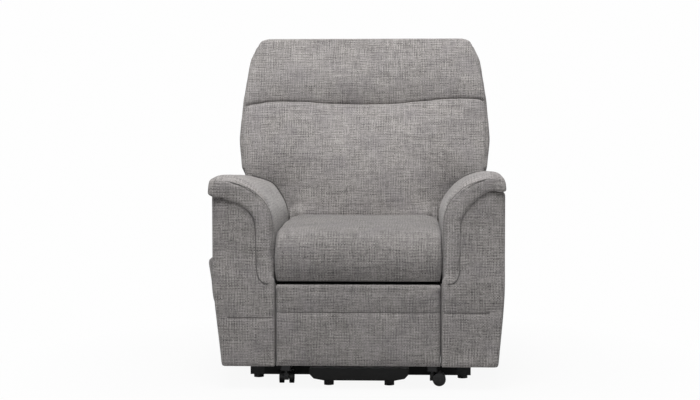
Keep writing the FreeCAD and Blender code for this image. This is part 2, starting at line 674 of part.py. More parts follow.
def handset():
    """The remote in the pocket: a rounded case and four buttons on its outer face."""
    body = new_body("handset_case")
    start = "-(arm_out + 1.2 + handset_deep)"
    sketch = sketch_on(body, "YZ_Plane", start)
    add_rectangle(sketch, "pocket_y - handset_long / 2", "pocket_y + handset_long / 2",
                  HANDSET_LOW, HANDSET_HIGH)
    case = pad(body, sketch, "handset_deep")
    holes = sketch_on(body, "YZ_Plane", start)
    for spot in button_spots():
        add_circle(holes, spot, "button_rad + 0.4")
    drilled = pocket(body, holes, "5", reverse=True)
    DOC.recompute()
    round_edges(body, drilled, "8", lambda e: e.Length > value("handset_deep - 1")
                and e.Length < value("handset_deep + 1") and abs(e.tangentAt(e.FirstParameter).x) > 0.9)
    for number, spot in enumerate(button_spots(), start=1):
        cap = cylinder(f"handset_button_{number}", "x", (f"{start} - button_up",) + spot,
                       "button_rad", "button_up + 3")
        cap.Label = f"handset_button_{number}"
    return case


HANDSET_LOW = "(pocket_low + pocket_skin + seat_gap)"
HANDSET_HIGH = f"({HANDSET_LOW} + handset_tall)"


def button_spots():
    """The centres of the four buttons, two rows of two."""
    return [(f"pocket_y + {across} * 13", f"{HANDSET_HIGH} - {down}")
            for down in (26, 54) for across in (-1, 1)]


def control_box():
    """The control and power box hung behind the rear chassis tube."""
    return box("control_box", ("-control_x - control_long / 2", "-control_x + control_long / 2"),
               ("chassis_back_y + cross_side / 2", "chassis_back_y + cross_side / 2 + control_deep"),
               ("chassis_back_z - control_drop", "chassis_back_z - control_drop + control_tall"))


# ---------------------------------------------------------------- back
def lean(part):
    """Lean a back part, drawn upright about the hinge, by the rake."""
    part.Placement = FreeCAD.Placement(V(0, 0, 0), FreeCAD.Rotation(V(-1, 0, 0), value("rake")))
    bind(part, "Placement.Rotation.Angle", "rake")
    bind(part, "Placement.Base.y", "back_y")
    bind(part, "Placement.Base.z", "back_z")
    return part


def back_frame():
    """The wooden back frame: a rail each side, a top rail and a bottom rail."""
    body = new_body("back_frame")
    sketch = sketch_on(body, "XZ_Plane", "-back_shell")
    add_rectangle(sketch, "-back_frame_half", "back_frame_half", "back_low", "back_top - 30")
    add_rectangle(sketch, "-back_frame_half + back_frame_wide", "back_frame_half - back_frame_wide",
                  "back_low + back_frame_wide", "back_top - 30 - back_frame_wide")
    pad(body, sketch, "back_shell - back_mid")
    lean(body)


def back_webbing():
    """Elastic straps across the back frame's opening."""
    straps = []
    step = "(back_top - 30 - back_low - 2 * back_frame_wide) / 6"
    for number in range(6):
        low = f"back_low + back_frame_wide + {number} * {step} + 25"
        straps.append(box(f"strap_{number}",
                          ("-back_frame_half + back_frame_wide", "back_frame_half - back_frame_wide"),
                          ("back_mid", "back_mid + 3"), (low, f"{low} + 50")))
    lean(group("back_webbing", straps))


def outside_back():
    """The padded outer back: a tray round the frame, widest above the arms."""
    body = new_body("outside_back")
    sketch = sketch_on(body, "XZ_Plane", "-back_rear")
    right = [("body_half", "back_low"), ("body_half", "wing_s"), ("back_half - 12", "wing_s"),
             ("back_half", "wing_s + 110"), ("back_half - 10", "head_seam + 20"),
             ("top_half + 22", "back_top - 70"), ("top_half", "back_top - 22"),
             ("top_half - 22", "back_top")]
    add_outline(sketch, right + [(f"-({x})", z) for x, z in reversed(right)])
    shell = pad(body, sketch, "back_rear - tray_front")
    inside = sketch_on(body, "XZ_Plane", "-back_shell")
    add_rectangle(inside, "-back_frame_half - seat_gap", "back_frame_half + seat_gap",
                  "back_low - 10", "back_top - 30 + seat_gap")
    pocket(body, inside, "back_shell - tray_front + 10", reverse=True)
    lean(body)
    return shell


def back_cushions():
    """The lumbar cushion, narrow between the arms, and the head cushion above its seam."""
    lumbar = new_body("lumbar_cushion")
    face = "back_mid - seat_gap"
    sketch = sketch_on(lumbar, "XZ_Plane", f"-({face})")
    half = "back_frame_half - seat_gap"
    add_rectangle(sketch, f"-({half})", half, "cushion_low", "head_seam - seat_gap")
    pad(lumbar, sketch, f"{face} - tray_front + seat_gap")
    front = sketch_on(lumbar, "XZ_Plane", "-tray_front + seat_gap")
    right = [("low_half", "cushion_low"), ("low_half", "wing_s"), ("soft_half", "wing_s"),
             ("soft_half", "head_seam - seat_gap")]
    add_outline(front, right + [(f"-({x})", z) for x, z in reversed(right)])
    pad(lumbar, front, "tray_front - seat_gap - back_front")
    lean(lumbar)
    head = new_body("head_cushion")
    inner = sketch_on(head, "XZ_Plane", f"-({face})")
    half = "back_frame_half - seat_gap"
    add_outline(inner, [(f"-({half})", "head_seam"), (half, "head_seam"),
                        (half, "back_top - 32"), (f"-({half})", "back_top - 32")])
    pad(head, inner, f"{face} - tray_front + seat_gap")
    outer = sketch_on(head, "XZ_Plane", "-tray_front + seat_gap")
    right = [("soft_half", "head_seam"), ("soft_half - 12", "back_top - 120"),
             ("top_half - 8", "cushion_top - 30"), ("top_half - 36", "cushion_top")]
    add_outline(outer, right + [(f"-({x})", z) for x, z in reversed(right)])
    pad(head, outer, "tray_front - seat_gap - back_front")
    lean(head)


def hinge_brackets():
    """Hinge brackets under the back frame, with a foot each, and the back actuator's crank."""
    body = new_body("back_hinge_brackets")
    plate = sketch_on(body, "YZ_Plane", "hinge_in")
    add_outline(plate, [("back_mid", "back_low"), ("-hinge_rad", "8"), ("-10", "-hinge_rad"),
                        ("10", "-hinge_rad"), ("hinge_rad + 8", "-2"),
                        ("back_shell", "back_low - 14"), ("back_shell", "back_low")])
    add_circle(plate, ("0", "0"), "pin_rad + fit")
    side = pad(body, plate, "hinge_thick")
    foot = sketch_on(body, "YZ_Plane", "hinge_in - 34")
    add_rectangle(foot, "back_mid", "back_shell", "back_low - 5", "back_low")
    mirror(body, [side, pad(body, foot, "34")])
    crank = new_body("back_crank")
    tip = ("back_crank * sin(rake + crank_lead)", "-back_crank * cos(rake + crank_lead)")
    root = ("20", "back_low - 12")
    for start in ("back_motor_x - rod_rad - 0.5 - crank_thick / 2", "back_motor_x + rod_rad + 0.5"):
        cheek = sketch_on(crank, "YZ_Plane", start)
        add_link(cheek, root, tip, "actuator_pin + 7")
        pad(crank, cheek, "crank_thick / 2")
    pin = sketch_on(crank, "YZ_Plane", "back_motor_x - rod_rad - 0.5 - crank_thick / 2")
    add_circle(pin, tip, "actuator_pin")
    pad(crank, pin, "2 * rod_rad + 1 + crank_thick")
    lean(body)
    lean(crank)


# ---------------------------------------------------------------- leg rest
def leg_links():
    """Main, upper, guide and control links with their riveted pins, one solid pair each."""
    p1, j1, q1 = (("leg_p1_y", "leg_p1_z"), ("leg_j1_y", "leg_j1_z"), ("leg_q1_y", "leg_q1_z"))
    j2, p2 = ("leg_j2_y", "leg_j2_z"), ("leg_p2_y", "leg_p2_z")
    q2, k = ("leg_q2_y", "leg_q2_z"), ("leg_k_y", "leg_k_z")
    free, slack = "link_pin + fit", "link_pin + pin_slack"
    main = new_body("leg_main_links")
    bar = side_link(main, p1, j1, "link_rad + 3", *layer_span(3), [(p1, "pin_rad + fit")])
    ear = side_link(main, j1, k, "link_rad - 1", *layer_span(3), [])
    pins = [side_disc(main, 1, j1, "link_pin", LAYERS[3], f"{LAYERS[2]} + link_thick"),
            side_disc(main, 1, k, "link_pin", LAYERS[4], LAYERS[3])]
    mirror(main, [bar, ear] + pins)
    upper = new_body("leg_upper_links")
    bar = side_link(upper, j1, q1, "link_rad", *layer_span(2), [(j1, free), (q1, free)])
    ear = side_link(upper, j1, j2, "link_rad", *layer_span(2), [(j1, free)])
    pin = side_disc(upper, 1, j2, "link_pin", LAYERS[2], f"{LAYERS[1]} + link_thick")
    mirror(upper, [bar, ear, pin])
    guide = new_body("leg_guide_links")
    mirror(guide, [side_link(guide, p2, j2, "link_rad", *layer_span(1), [(p2, free), (j2, slack)])])
    control = new_body("leg_control_links")
    mirror(control, [side_link(control, k, q2, "link_rad - 1", *layer_span(4),
                               [(k, free), (q2, slack)])])
    brackets = new_body("footrest_brackets")
    plate = side_link(brackets, q1, q2, "link_rad", *layer_span(3), [])
    start, thick = layer(1, *layer_span(3))
    web = sketch_on(brackets, "YZ_Plane", start)
    back = "panel_back"
    add_outline(web, [(back, "leg_q2_z - 60"), ("leg_q2_y", "leg_q2_z - link_rad + 1"),
                      ("leg_q1_y", "leg_q1_z + link_rad - 1"), (back, "leg_q1_z + 6")])
    pins = [side_disc(brackets, 1, q1, "link_pin", LAYERS[3], f"{LAYERS[2]} + link_thick"),
            side_disc(brackets, 1, q2, "link_pin", LAYERS[4], LAYERS[3])]
    mirror(brackets, [plate, pad(brackets, web, thick)] + pins)


def leg_torque_tube():
    """The tube that joins both main links, with the leg rest crank."""
    tube = new_body("leg_torque_tube")
    reach = LAYERS[3]
    sketch = sketch_on(tube, "YZ_Plane", f"-({reach})")
    for radius in ("leg_tube_rad", "leg_tube_rad - 2.5"):
        add_circle(sketch, ("leg_p1_y", "leg_p1_z"), radius)
    pad(tube, sketch, f"2 * ({reach})")
    crank_pair(tube, ("leg_p1_y", "leg_p1_z"), LEG_CRANK, "leg_motor_x", "leg_tube_rad - 1")


def footrest():
    """The leg rest panel: a wooden board behind an upholstered pad."""
    box("footrest_board", ("-panel_half + 8", "panel_half - 8"),
        ("panel_back - board_thick", "panel_back"), ("panel_low + 8", "panel_top - 8"))
    pad_body = new_body("footrest_pad")
    sketch = sketch_on(pad_body, "YZ_Plane", "-panel_half")
    add_rectangle(sketch, "panel_front", "panel_back - board_thick - seat_gap", "panel_low",
                  "panel_top")
    block = pad(pad_body, sketch, "2 * panel_half")
    round_edges(pad_body, block, "10", lambda e: abs(mid(e).y - value("panel_front")) < 0.5)


# ---------------------------------------------------------------- actuators
BACK_MOTOR = ("chassis_front_y", "chassis_front_z - cross_side / 2 - ear_drop")
LEG_MOTOR = ("chassis_back_y", "chassis_back_z + cross_side / 2 + ear_drop")
BACK_TIP = ("back_y + back_crank * sin(crank_lead)", "back_z - back_crank * cos(crank_lead)")


def along(body, low, high, radius, drop="0"):
    """Pad a disc along an actuator's axis, which is drawn along +Y from the rear eye."""
    sketch = sketch_on(body, "XZ_Plane", f"-({high})")
    add_circle(sketch, ("0", drop), radius)
    return pad(body, sketch, f"({high}) - ({low})")


def eye(body, place, width):
    """A cross-drilled eye on an actuator's axis."""
    sketch = sketch_on(body, "YZ_Plane", f"-({width}) / 2")
    add_circle(sketch, (place, "0"), "actuator_pin + 6")
    pad(body, sketch, width)


def drill_eye(body, place, slack):
    """Drill an eye for its pin."""
    sketch = sketch_on(body, "YZ_Plane", "-motor_rad")
    add_circle(sketch, (place, "0"), f"actuator_pin + {slack}")
    pocket(body, sketch, "2 * motor_rad", reverse=True)


def actuator(name, rear, tip, middle, stroke, drum):
    """A linear actuator: motor case with outer tube, and rod, turned from rear eye to rod pin.

    stroke is how far the rod still has to come out, negative where it starts fully out.
    """
    rise, run = f"(({tip[1]}) - ({rear[1]}))", f"(({tip[0]}) - ({rear[0]}))"
    reach = f"sqrt({rise} ^ 2 + {run} ^ 2)"
    closed = reach if value(stroke) > 0 else f"({reach} - abs({stroke}))"
    tube_end = f"({closed} - 27)"
    case = new_body(f"{name}_motor")
    eye(case, "0", "motor_eye")
    along(case, "4", "17", "motor_eye / 2 - 0.5")
    along(case, "16", "92", "motor_rad")
    along(case, "20", "78", "motor_rad - 5", f"{drum} * (motor_rad + 6)")
    along(case, "90", tube_end, "outer_rad")
    drill_eye(case, "0", "fit")
    bore = sketch_on(case, "XZ_Plane", f"-{tube_end}")
    add_circle(bore, ("0", "0"), "rod_rad + rod_slack")
    pocket(case, bore, f"abs({stroke}) + 60", reverse=True)
    rod = new_body(f"{name}_rod")
    eye(rod, reach, "2 * rod_rad - 3")
    along(rod, f"{reach} - abs({stroke}) - 70", f"{reach} - actuator_pin - 2", "rod_rad")
    drill_eye(rod, reach, "fit")
    for part in (case, rod):
        part.Placement = FreeCAD.Placement(V(0, 0, 0), FreeCAD.Rotation(V(1, 0, 0), 30))
        bind(part, "Placement.Rotation.Angle", f"atan2({rise}; {run})")
        for axis, text in zip("xyz", (middle, rear[0], rear[1])):
            bind(part, f"Placement.Base.{axis}", text)


def actuators():
    """The lift, back and leg rest actuators."""
    actuator("lift", ("lift_motor_y", "lift_motor_z"), LIFT_CRANK, "0", "lift_stroke", "-1")
    actuator("back", BACK_MOTOR, BACK_TIP, "back_motor_x", "-back_stroke", "-1")
    actuator("leg", LEG_MOTOR, LEG_CRANK, "leg_motor_x", "leg_stroke", "1")


# ---------------------------------------------------------------- build, check and export
def build():
    """Make every part of the chair."""
    fill_sheet()
    for make in (base_rails, cross_tubes, end_caps, glides, stabiliser, stabiliser_feet,
                 pivot_brackets, lift_arms, follower_links, mechanism_plates, chassis_tubes,
                 seat_frame, seat_springs, seat_cushion, arm_bodies, arm_pads, valance,
                 handset_pocket, handset, control_box, back_frame, back_webbing, outside_back,
                 back_cushions, hinge_brackets, leg_links, leg_torque_tube, footrest, actuators):
        make()
    for name in CASTORS:
        castor(name)
    DOC.recompute()


def finished_parts():
    """The document's parts: every shape that no other object is made from."""
    return [item for item in DOC.Objects if not item.InList and hasattr(item, "Shape")]


def check(parts):
    """Stop where an object failed or a part's shape is missing or not valid."""
    failed = [item.Name for item in DOC.Objects if {"Invalid", "Error"} & set(item.State)]
    if failed:
        raise RuntimeError(f"objects that failed: {failed}")
    for part in parts:
        if part.Shape.isNull() or not part.Shape.Solids or not part.Shape.isValid():
            raise RuntimeError(f"{part.Label} has no valid solid")


def export(parts):
    """Write each part to its own STEP file."""
    os.makedirs("parts", exist_ok=True)
    for part in parts:
        part.Shape.exportStep(f"parts/{part.Label}.step")


build()
PARTS = finished_parts()
check(PARTS)
export(PARTS)
print(f"{len(PARTS)} parts, {sum(len(part.Shape.Solids) for part in PARTS)} solids")
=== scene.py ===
"""Lift recliner chair: upholstery, finishes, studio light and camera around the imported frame.

Metres, +Z up, the front of the chair faces -Y.  Every soft part is a padded mesh that takes its
place from the frame's solids; steel, plastic and wood keep the frame's own meshes and are dressed
with procedural finishes.
"""

import json
import logging
import math
from dataclasses import dataclass, field
from enum import Enum
from typing import Callable, Iterable, Sequence

import bmesh
import bpy
import numpy as np
from mathutils import Euler, Matrix, Vector
from mathutils.bvhtree import BVHTree
from mathutils.kdtree import KDTree

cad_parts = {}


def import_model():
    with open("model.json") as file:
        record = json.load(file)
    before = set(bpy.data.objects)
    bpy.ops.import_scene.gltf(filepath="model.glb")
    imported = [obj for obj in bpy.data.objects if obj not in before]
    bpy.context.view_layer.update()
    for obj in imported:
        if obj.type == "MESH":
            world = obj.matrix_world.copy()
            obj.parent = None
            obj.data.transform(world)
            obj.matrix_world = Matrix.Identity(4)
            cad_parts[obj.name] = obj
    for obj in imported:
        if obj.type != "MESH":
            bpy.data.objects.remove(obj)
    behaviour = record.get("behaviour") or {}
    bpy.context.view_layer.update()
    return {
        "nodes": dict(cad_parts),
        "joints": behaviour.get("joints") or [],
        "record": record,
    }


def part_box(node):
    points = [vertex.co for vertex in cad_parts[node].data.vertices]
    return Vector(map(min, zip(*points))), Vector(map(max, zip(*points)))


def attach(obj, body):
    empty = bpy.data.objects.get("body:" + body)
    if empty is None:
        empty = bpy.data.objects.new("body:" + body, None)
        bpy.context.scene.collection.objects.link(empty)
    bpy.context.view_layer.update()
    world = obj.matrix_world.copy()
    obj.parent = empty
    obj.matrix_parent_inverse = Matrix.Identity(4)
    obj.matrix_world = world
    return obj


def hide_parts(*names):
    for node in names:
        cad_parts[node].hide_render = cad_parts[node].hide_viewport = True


LOG = logging.getLogger("lift_recliner")
Point = tuple[float, float, float]
Flat = tuple[float, float]


class Side(Enum):
    """The two sides of the chair, as the sign of X."""

    LEFT = -1
    RIGHT = 1


# ------------------------------------------------------------------------------------ shader nodes
class Shader:
    """A small builder for one node tree: makes nodes, links them and does arithmetic."""

    def __init__(self, tree: bpy.types.NodeTree) -> None:
        """Start on an existing tree.

        Args:
            tree: the material's or group's node tree.
        """
        self.tree = tree

    def node(self, kind: str, inputs: dict | None = None, **settings: object) -> bpy.types.Node:
        """Add a node.

        Args:
            kind: the node's type name.
            inputs: values or output sockets by input name or index.
            settings: properties of the node itself.

        Returns:
            The new node.
        """
        made = self.tree.nodes.new(kind)
        for name, setting in settings.items():
            setattr(made, name, setting)
        for name, given in (inputs or {}).items():
            if isinstance(given, bpy.types.NodeSocket):
                self.tree.links.new(given, made.inputs[name])
            else:
                made.inputs[name].default_value = given
        return made

    def math(self, operation: str, *values: object) -> bpy.types.NodeSocket:
        """One Math node's result."""
        return self.node("ShaderNodeMath", dict(enumerate(values)), operation=operation).outputs[0]

    def vector(self, operation: str, *values: object) -> bpy.types.NodeSocket:
        """One Vector Math node's vector."""
        made = self.node("ShaderNodeVectorMath", dict(enumerate(values)), operation=operation)
        return made.outputs[0]

    def mix(self, share: object, low: object, high: object) -> bpy.types.NodeSocket:
        """A colour between two others.

        Args:
            share: how much of the second colour there is, from 0 to 1.
            low: the first colour.
            high: the second colour.

        Returns:
            The mixed colour's socket.
        """
        made = self.node("ShaderNodeMix", data_type="RGBA")
        for index, given in ((0, share), (6, low), (7, high)):
            if isinstance(given, bpy.types.NodeSocket):
                self.tree.links.new(given, made.inputs[index])
            else:
                made.inputs[index].default_value = given
        return made.outputs[2]

    def noise(self, vector: object, scale: float, detail: float = 2.0) -> bpy.types.NodeSocket:
        """A noise texture's value."""
        inputs = {"Vector": vector, "Scale": scale, "Detail": detail, "Roughness": 0.55}
        return self.node("ShaderNodeTexNoise", inputs).outputs[0]

    def spread(self, value: object, low: float, high: float) -> bpy.types.NodeSocket:
        """Stretch the range from low to high over 0 to 1."""
        inputs = {0: value, 1: low, 2: high}
        return self.node("ShaderNodeMapRange", inputs, clamp=True).outputs[0]


def rgb(red: float, green: float, blue: float) -> tuple[float, float, float, float]:
    """A colour with full alpha."""
    return (red, green, blue, 1.0)


@dataclass(frozen=True)
class WeavePattern:
    """A hopsack weave seen square on, as a node group with coordinates in and tone and relief out."""

    thread: float = 0.0042
    pair: float = 0.0082
    plaid: float = 0.23
    layers: tuple = ((0.0030, 0.012, 0.38), (0.0042, 0.042, 0.40), (0.010, 0.085, 0.22))

    def group(self) -> bpy.types.NodeTree:
        """The weave's node group, built once.

        Returns:
            The group.
        """
        name = "hopsack_weave"
        if name in bpy.data.node_groups:
            return bpy.data.node_groups[name]
        tree = bpy.data.node_groups.new(name, "ShaderNodeTree")
        sockets = tree.interface
        for title in ("Across", "Along"):
            sockets.new_socket(title, in_out="INPUT", socket_type="NodeSocketFloat")
        for title in ("Tone", "Relief"):
            sockets.new_socket(title, in_out="OUTPUT", socket_type="NodeSocketFloat")
        shade = Shader(tree)
        source = shade.node("NodeGroupInput")
        across, along = source.outputs["Across"], source.outputs["Along"]
        warp = self._yarn(shade, across, along, 0.0)
        weft = self._yarn(shade, along, across, 7.3)
        cells = shade.math("MULTIPLY", self._wave(shade, across, 0.5), self._wave(shade, along, 0.5))
        over = shade.spread(cells, -0.12, 0.12)
        tone = shade.math("ADD", shade.math("MULTIPLY", warp[0], over),
                          shade.math("MULTIPLY", weft[0], shade.math("SUBTRACT", 1.0, over)))
        plaid = shade.math("ADD", self._stripes(shade, across, along, 2.7),
                           self._stripes(shade, along, across, 9.1))
        tone = shade.math("ADD", shade.math("MULTIPLY", tone, 1 - self.plaid),
                          shade.math("MULTIPLY", shade.math("ADD", plaid, 1.0), self.plaid / 2))
        relief = shade.math("ADD", shade.math("MULTIPLY", warp[1], over),
                            shade.math("MULTIPLY", weft[1], shade.math("SUBTRACT", 1.0, over)))
        shade.node("NodeGroupOutput", {"Tone": tone, "Relief": relief})
        return tree

    def _wave(self, shade: Shader, place: object, share: float) -> bpy.types.NodeSocket:
        """A sine with share periods to each thread."""
        turn = shade.math("MULTIPLY", place, 2 * math.pi * share / self.thread)
        return shade.math("SINE", turn)

    def _stripes(self, shade: Shader, place: object, run: object, shift: float) -> bpy.types.NodeSocket:
        """Alternate light and dark yarns that show more in some patches than in others.

        Args:
            shade: the group's builder.
            place: the coordinate across the yarns.
            run: the coordinate along them.
            shift: a seed that sets the two directions apart.

        Returns:
            A socket from -1 to 1.
        """
        flat = shade.node("ShaderNodeCombineXYZ", {0: place, 1: run, 2: shift}).outputs[0]
        share = shade.spread(shade.noise(flat, 42.0, 1.0), 0.38, 0.62)
        drift = shade.math("MULTIPLY", shade.noise(flat, 9.0, 1.0), 9.0)
        turn = shade.math("ADD", shade.math("MULTIPLY", place, 2 * math.pi / self.pair), drift)
        return shade.math("MULTIPLY", shade.math("SINE", turn), share)

    def _yarn(self, shade: Shader, place: object, run: object, shift: float) -> tuple:
        """One set of yarns: their slubbed tone, and their round relief.

        Args:
            shade: the group's builder.
            place: the coordinate across the yarns.
            run: the coordinate along them.
            shift: a seed that sets the two directions apart.

        Returns:
            The tone socket and the relief socket.
        """
        tone: object = 0.0
        for number, (wide, long, share) in enumerate(self.layers):
            drawn = shade.node("ShaderNodeCombineXYZ", {
                0: shade.math("MULTIPLY", place, 1 / wide),
                1: shade.math("MULTIPLY", run, 1 / long), 2: shift + 3.1 * number})
            yarn = shade.spread(shade.noise(drawn.outputs[0], 1.0, 1.0), 0.33, 0.67)
            tone = shade.math("ADD", tone, shade.math("MULTIPLY", yarn, share))
        relief = shade.math("ABSOLUTE", self._wave(shade, place, 0.5))
        return tone, relief


@dataclass(frozen=True)
class Cloth:
    """Warm grey woven upholstery cloth with darker and lighter slubs."""

    name: str
    dark: tuple = rgb(0.085, 0.079, 0.077)
    light: tuple = rgb(0.455, 0.430, 0.415)
    mauve: tuple = rgb(0.215, 0.200, 0.215)
    # A gain on all the yarn colours, which makes lighter and darker copies of one cloth to paint in light and
    # shade.
    painted_light_gain: float = 1.0
    bump: float = 0.35

    def material(self) -> bpy.types.Material:
        """The finished material, made once.

        Returns:
            The material.
        """
        if self.name in bpy.data.materials:
            return bpy.data.materials[self.name]
        made, shade, surface = new_material(self.name)
        place = shade.node("ShaderNodeTexCoord")
        spot = shade.node("ShaderNodeSeparateXYZ", {0: place.outputs["Object"]}).outputs
        facing = shade.vector("ABSOLUTE", place.outputs["Normal"])
        facing = shade.node("ShaderNodeSeparateXYZ", {0: facing}).outputs
        sharp = [shade.math("POWER", facing[axis], 6.0) for axis in range(3)]
        total = shade.math("ADD", shade.math("ADD", sharp[0], sharp[1]), sharp[2])
        tone: object = 0.0
        relief: object = 0.0
        for axis, (across, along) in enumerate(((1, 2), (0, 2), (0, 1))):
            weave = shade.node("ShaderNodeGroup", node_tree=WeavePattern().group())
            shade.tree.links.new(spot[across], weave.inputs["Across"])
            shade.tree.links.new(spot[along], weave.inputs["Along"])
            share = shade.math("DIVIDE", sharp[axis], total)
            tone = shade.math("ADD", tone, shade.math("MULTIPLY", weave.outputs["Tone"], share))
            relief = shade.math("ADD", relief, shade.math("MULTIPLY", weave.outputs["Relief"], share))
        patch = shade.spread(shade.noise(place.outputs["Object"], 13.0, 3.0), 0.42, 0.7)
        cloudy = shade.spread(shade.noise(place.outputs["Object"], 5.5, 2.0), 0.3, 0.7)
        level = shade.math("ADD", shade.spread(tone, 0.12, 0.88),
                           shade.math("MULTIPLY", shade.math("SUBTRACT", cloudy, 0.5), 0.14))
        # Each copy's gain scales the yarn colours, painting in the light or shade on its part.
        dark, light, mauve = (rgb(*(part * self.painted_light_gain for part in yarn[:3]))
                              for yarn in (self.dark, self.light, self.mauve))
        colour = shade.mix(level, dark, light)
        colour = shade.mix(shade.math("MULTIPLY", patch, 0.30), colour, mauve)
        shade.tree.links.new(colour, surface.inputs["Base Color"])
        for title, amount in (("Roughness", 0.92), ("Specular IOR Level", 0.22),
                              ("Sheen Weight", 0.18), ("Sheen Roughness", 0.55)):
            surface.inputs[title].default_value = amount
        fuzz = shade.noise(place.outputs["Object"], 900.0, 2.0)
        height = shade.math("ADD", relief, shade.math("MULTIPLY", fuzz, 0.5))
        bump = shade.node("ShaderNodeBump", {"Height": height, "Strength": self.bump,
                                             "Distance": 0.0009})
        shade.tree.links.new(bump.outputs[0], surface.inputs["Normal"])
        return made


@dataclass(frozen=True)
class Solid:
    """A hard finish: paint, plastic, rubber, steel or plywood, with fine relief and wear."""

    name: str
    colour: tuple
    roughness: float = 0.5
    metallic: float = 0.0
    grain: float = 400.0
    bump: float = 0.08
    spread: float = 0.12
    stretch: Point = (1.0, 1.0, 1.0)
    tint: tuple = rgb(0.05, 0.05, 0.05)
    tint_share: float = 0.15
    specular: float = 0.5

    def material(self) -> bpy.types.Material:
        """The finished material, made once.

        Returns:
            The material.
        """
        if self.name in bpy.data.materials:
            return bpy.data.materials[self.name]
        made, shade, surface = new_material(self.name)
        place = shade.node("ShaderNodeTexCoord").outputs["Object"]
        drawn = shade.vector("MULTIPLY", place, self.stretch)
        grain = shade.noise(drawn, self.grain, 3.0)
        worn = shade.spread(shade.noise(place, 16.0, 4.0), 0.45, 0.75)
        colour = shade.mix(shade.math("MULTIPLY", worn, self.tint_share), self.colour, self.tint)
        rough = shade.math("ADD", self.roughness - self.spread / 2,
                           shade.math("MULTIPLY", shade.noise(drawn, self.grain / 9, 2.0), self.spread))
        bump = shade.node("ShaderNodeBump", {"Height": grain, "Strength": self.bump,
                                             "Distance": 0.0004})
        for socket, name in ((colour, "Base Color"), (rough, "Roughness"), (bump.outputs[0], "Normal")):
            shade.tree.links.new(socket, surface.inputs[name])
        surface.inputs["Metallic"].default_value = self.metallic
        surface.inputs["Specular IOR Level"].default_value = self.specular
        return made


def new_material(name: str) -> tuple[bpy.types.Material, Shader, bpy.types.Node]:
    """An empty material.

    Args:
        name: the material's name.

    Returns:
        The material, its tree's builder and its Principled surface node.
    """
    made = bpy.data.materials.new(name)
    made.use_nodes = True
    made.node_tree.nodes.clear()
    shade = Shader(made.node_tree)
    surface = shade.node("ShaderNodeBsdfPrincipled")
    shade.node("ShaderNodeOutputMaterial", {"Surface": surface.outputs[0]})
    return made, shade, surface


# Copies of one cloth with different gains on the yarn colours: the lighter copies paint in light on the head,
# the lumbar and the arm pads; the darker ones paint in shade on the seat and the leg rest.
CLOTH = Cloth("arm_cloth", painted_light_gain=0.93)
PAD_CLOTH = Cloth("arm_pad_cloth", painted_light_gain=1.05)
HEAD_CLOTH = Cloth("head_cloth_painted_light", painted_light_gain=1.06)
BACK_CLOTH = Cloth("lumbar_cloth_painted_light", painted_light_gain=1.07)
SEAT_CLOTH = Cloth("seat_cloth_painted_shade", painted_light_gain=0.785)
PANEL_CLOTH = Cloth("leg_rest_cloth_painted_shade", painted_light_gain=0.88)
THREAD = Solid("seam_thread", rgb(0.17, 0.16, 0.155), 0.85, grain=1500, bump=0.3)
# Dark tones for the tubes and strips along seams, grooves and gaps: painted shade where the cloth turns in or
# two parts meet.
SHADOW_SEAM = Solid("seam_painted_shadow", rgb(0.105, 0.099, 0.096), 0.95, grain=900, bump=0.3)
GROOVE = Solid("band_groove_shadow", rgb(0.115, 0.109, 0.106), 0.95, grain=900, bump=0.3)
EDGE_SEAM = Solid("edge_seam_shadow", rgb(0.175, 0.166, 0.162), 0.95, grain=900, bump=0.3)
PAINT = Solid("satin_black_paint", rgb(0.005, 0.005, 0.005), 0.45, grain=700, bump=0.12,
              tint=rgb(0.02, 0.02, 0.02), specular=0.28)
MECHANISM = Solid("black_mechanism_steel", rgb(0.012, 0.012, 0.012), 0.40, 0.2, grain=500, bump=0.1,
                  tint=rgb(0.07, 0.065, 0.06), tint_share=0.25)
PLASTIC = Solid("black_moulded_plastic", rgb(0.013, 0.013, 0.014), 0.5, grain=1200, bump=0.22)
GREY_PLASTIC = Solid("grey_key_plastic", rgb(0.22, 0.22, 0.23), 0.45, grain=1200, bump=0.15)
RUBBER = Solid("black_rubber", rgb(0.014, 0.014, 0.014), 0.72, grain=800, bump=0.3)
STEEL = Solid("ground_steel", rgb(0.55, 0.55, 0.56), 0.26, 1.0, grain=260, bump=0.06,
              stretch=(1.0, 0.05, 1.0), tint=rgb(0.4, 0.4, 0.41))
PLYWOOD = Solid("plywood", rgb(0.42, 0.29, 0.17), 0.62, grain=60, bump=0.25, stretch=(0.12, 1.0, 1.0),
                tint=rgb(0.25, 0.15, 0.08), tint_share=0.6)
WEBBING = Solid("elastic_webbing", rgb(0.05, 0.05, 0.052), 0.8, grain=300, bump=0.5,
                stretch=(1.0, 1.0, 6.0), tint=rgb(0.16, 0.16, 0.16), tint_share=0.5)


# ------------------------------------------------------------------------------------ mesh helpers
def linked(name: str, data: bpy.types.ID) -> bpy.types.Object:
    """A new object at the origin of the scene.

    Args:
        name: its name.
        data: its mesh, curve, light or camera.

    Returns:
        The linked object.
    """
    made = bpy.data.objects.new(name, data)
    bpy.context.scene.collection.objects.link(made)
    return made


def mesh_object(name: str, points: Sequence, faces: Sequence) -> bpy.types.Object:
    """A new object at the origin from points and faces.

    Args:
        name: the piece's name.
        points: its vertices, in metres.
        faces: its faces, as runs of vertex numbers.

    Returns:
        The linked object.
    """
    mesh = bpy.data.meshes.new(name)
    mesh.from_pydata([tuple(point) for point in points], [], [tuple(face) for face in faces])
    mesh.validate()
    return linked(name, mesh)


def recalculated(piece: bpy.types.Object) -> bpy.types.Object:
    """Point every face of a closed piece outwards, after merging its doubles.

    Args:
        piece: the closed piece.

    Returns:
        The same piece.
    """
    mesh = bmesh.new()
    mesh.from_mesh(piece.data)
    bmesh.ops.remove_doubles(mesh, verts=mesh.verts, dist=1e-6)
    bmesh.ops.recalc_face_normals(mesh, faces=mesh.faces)
    mesh.to_mesh(piece.data)
    mesh.free()
    return piece


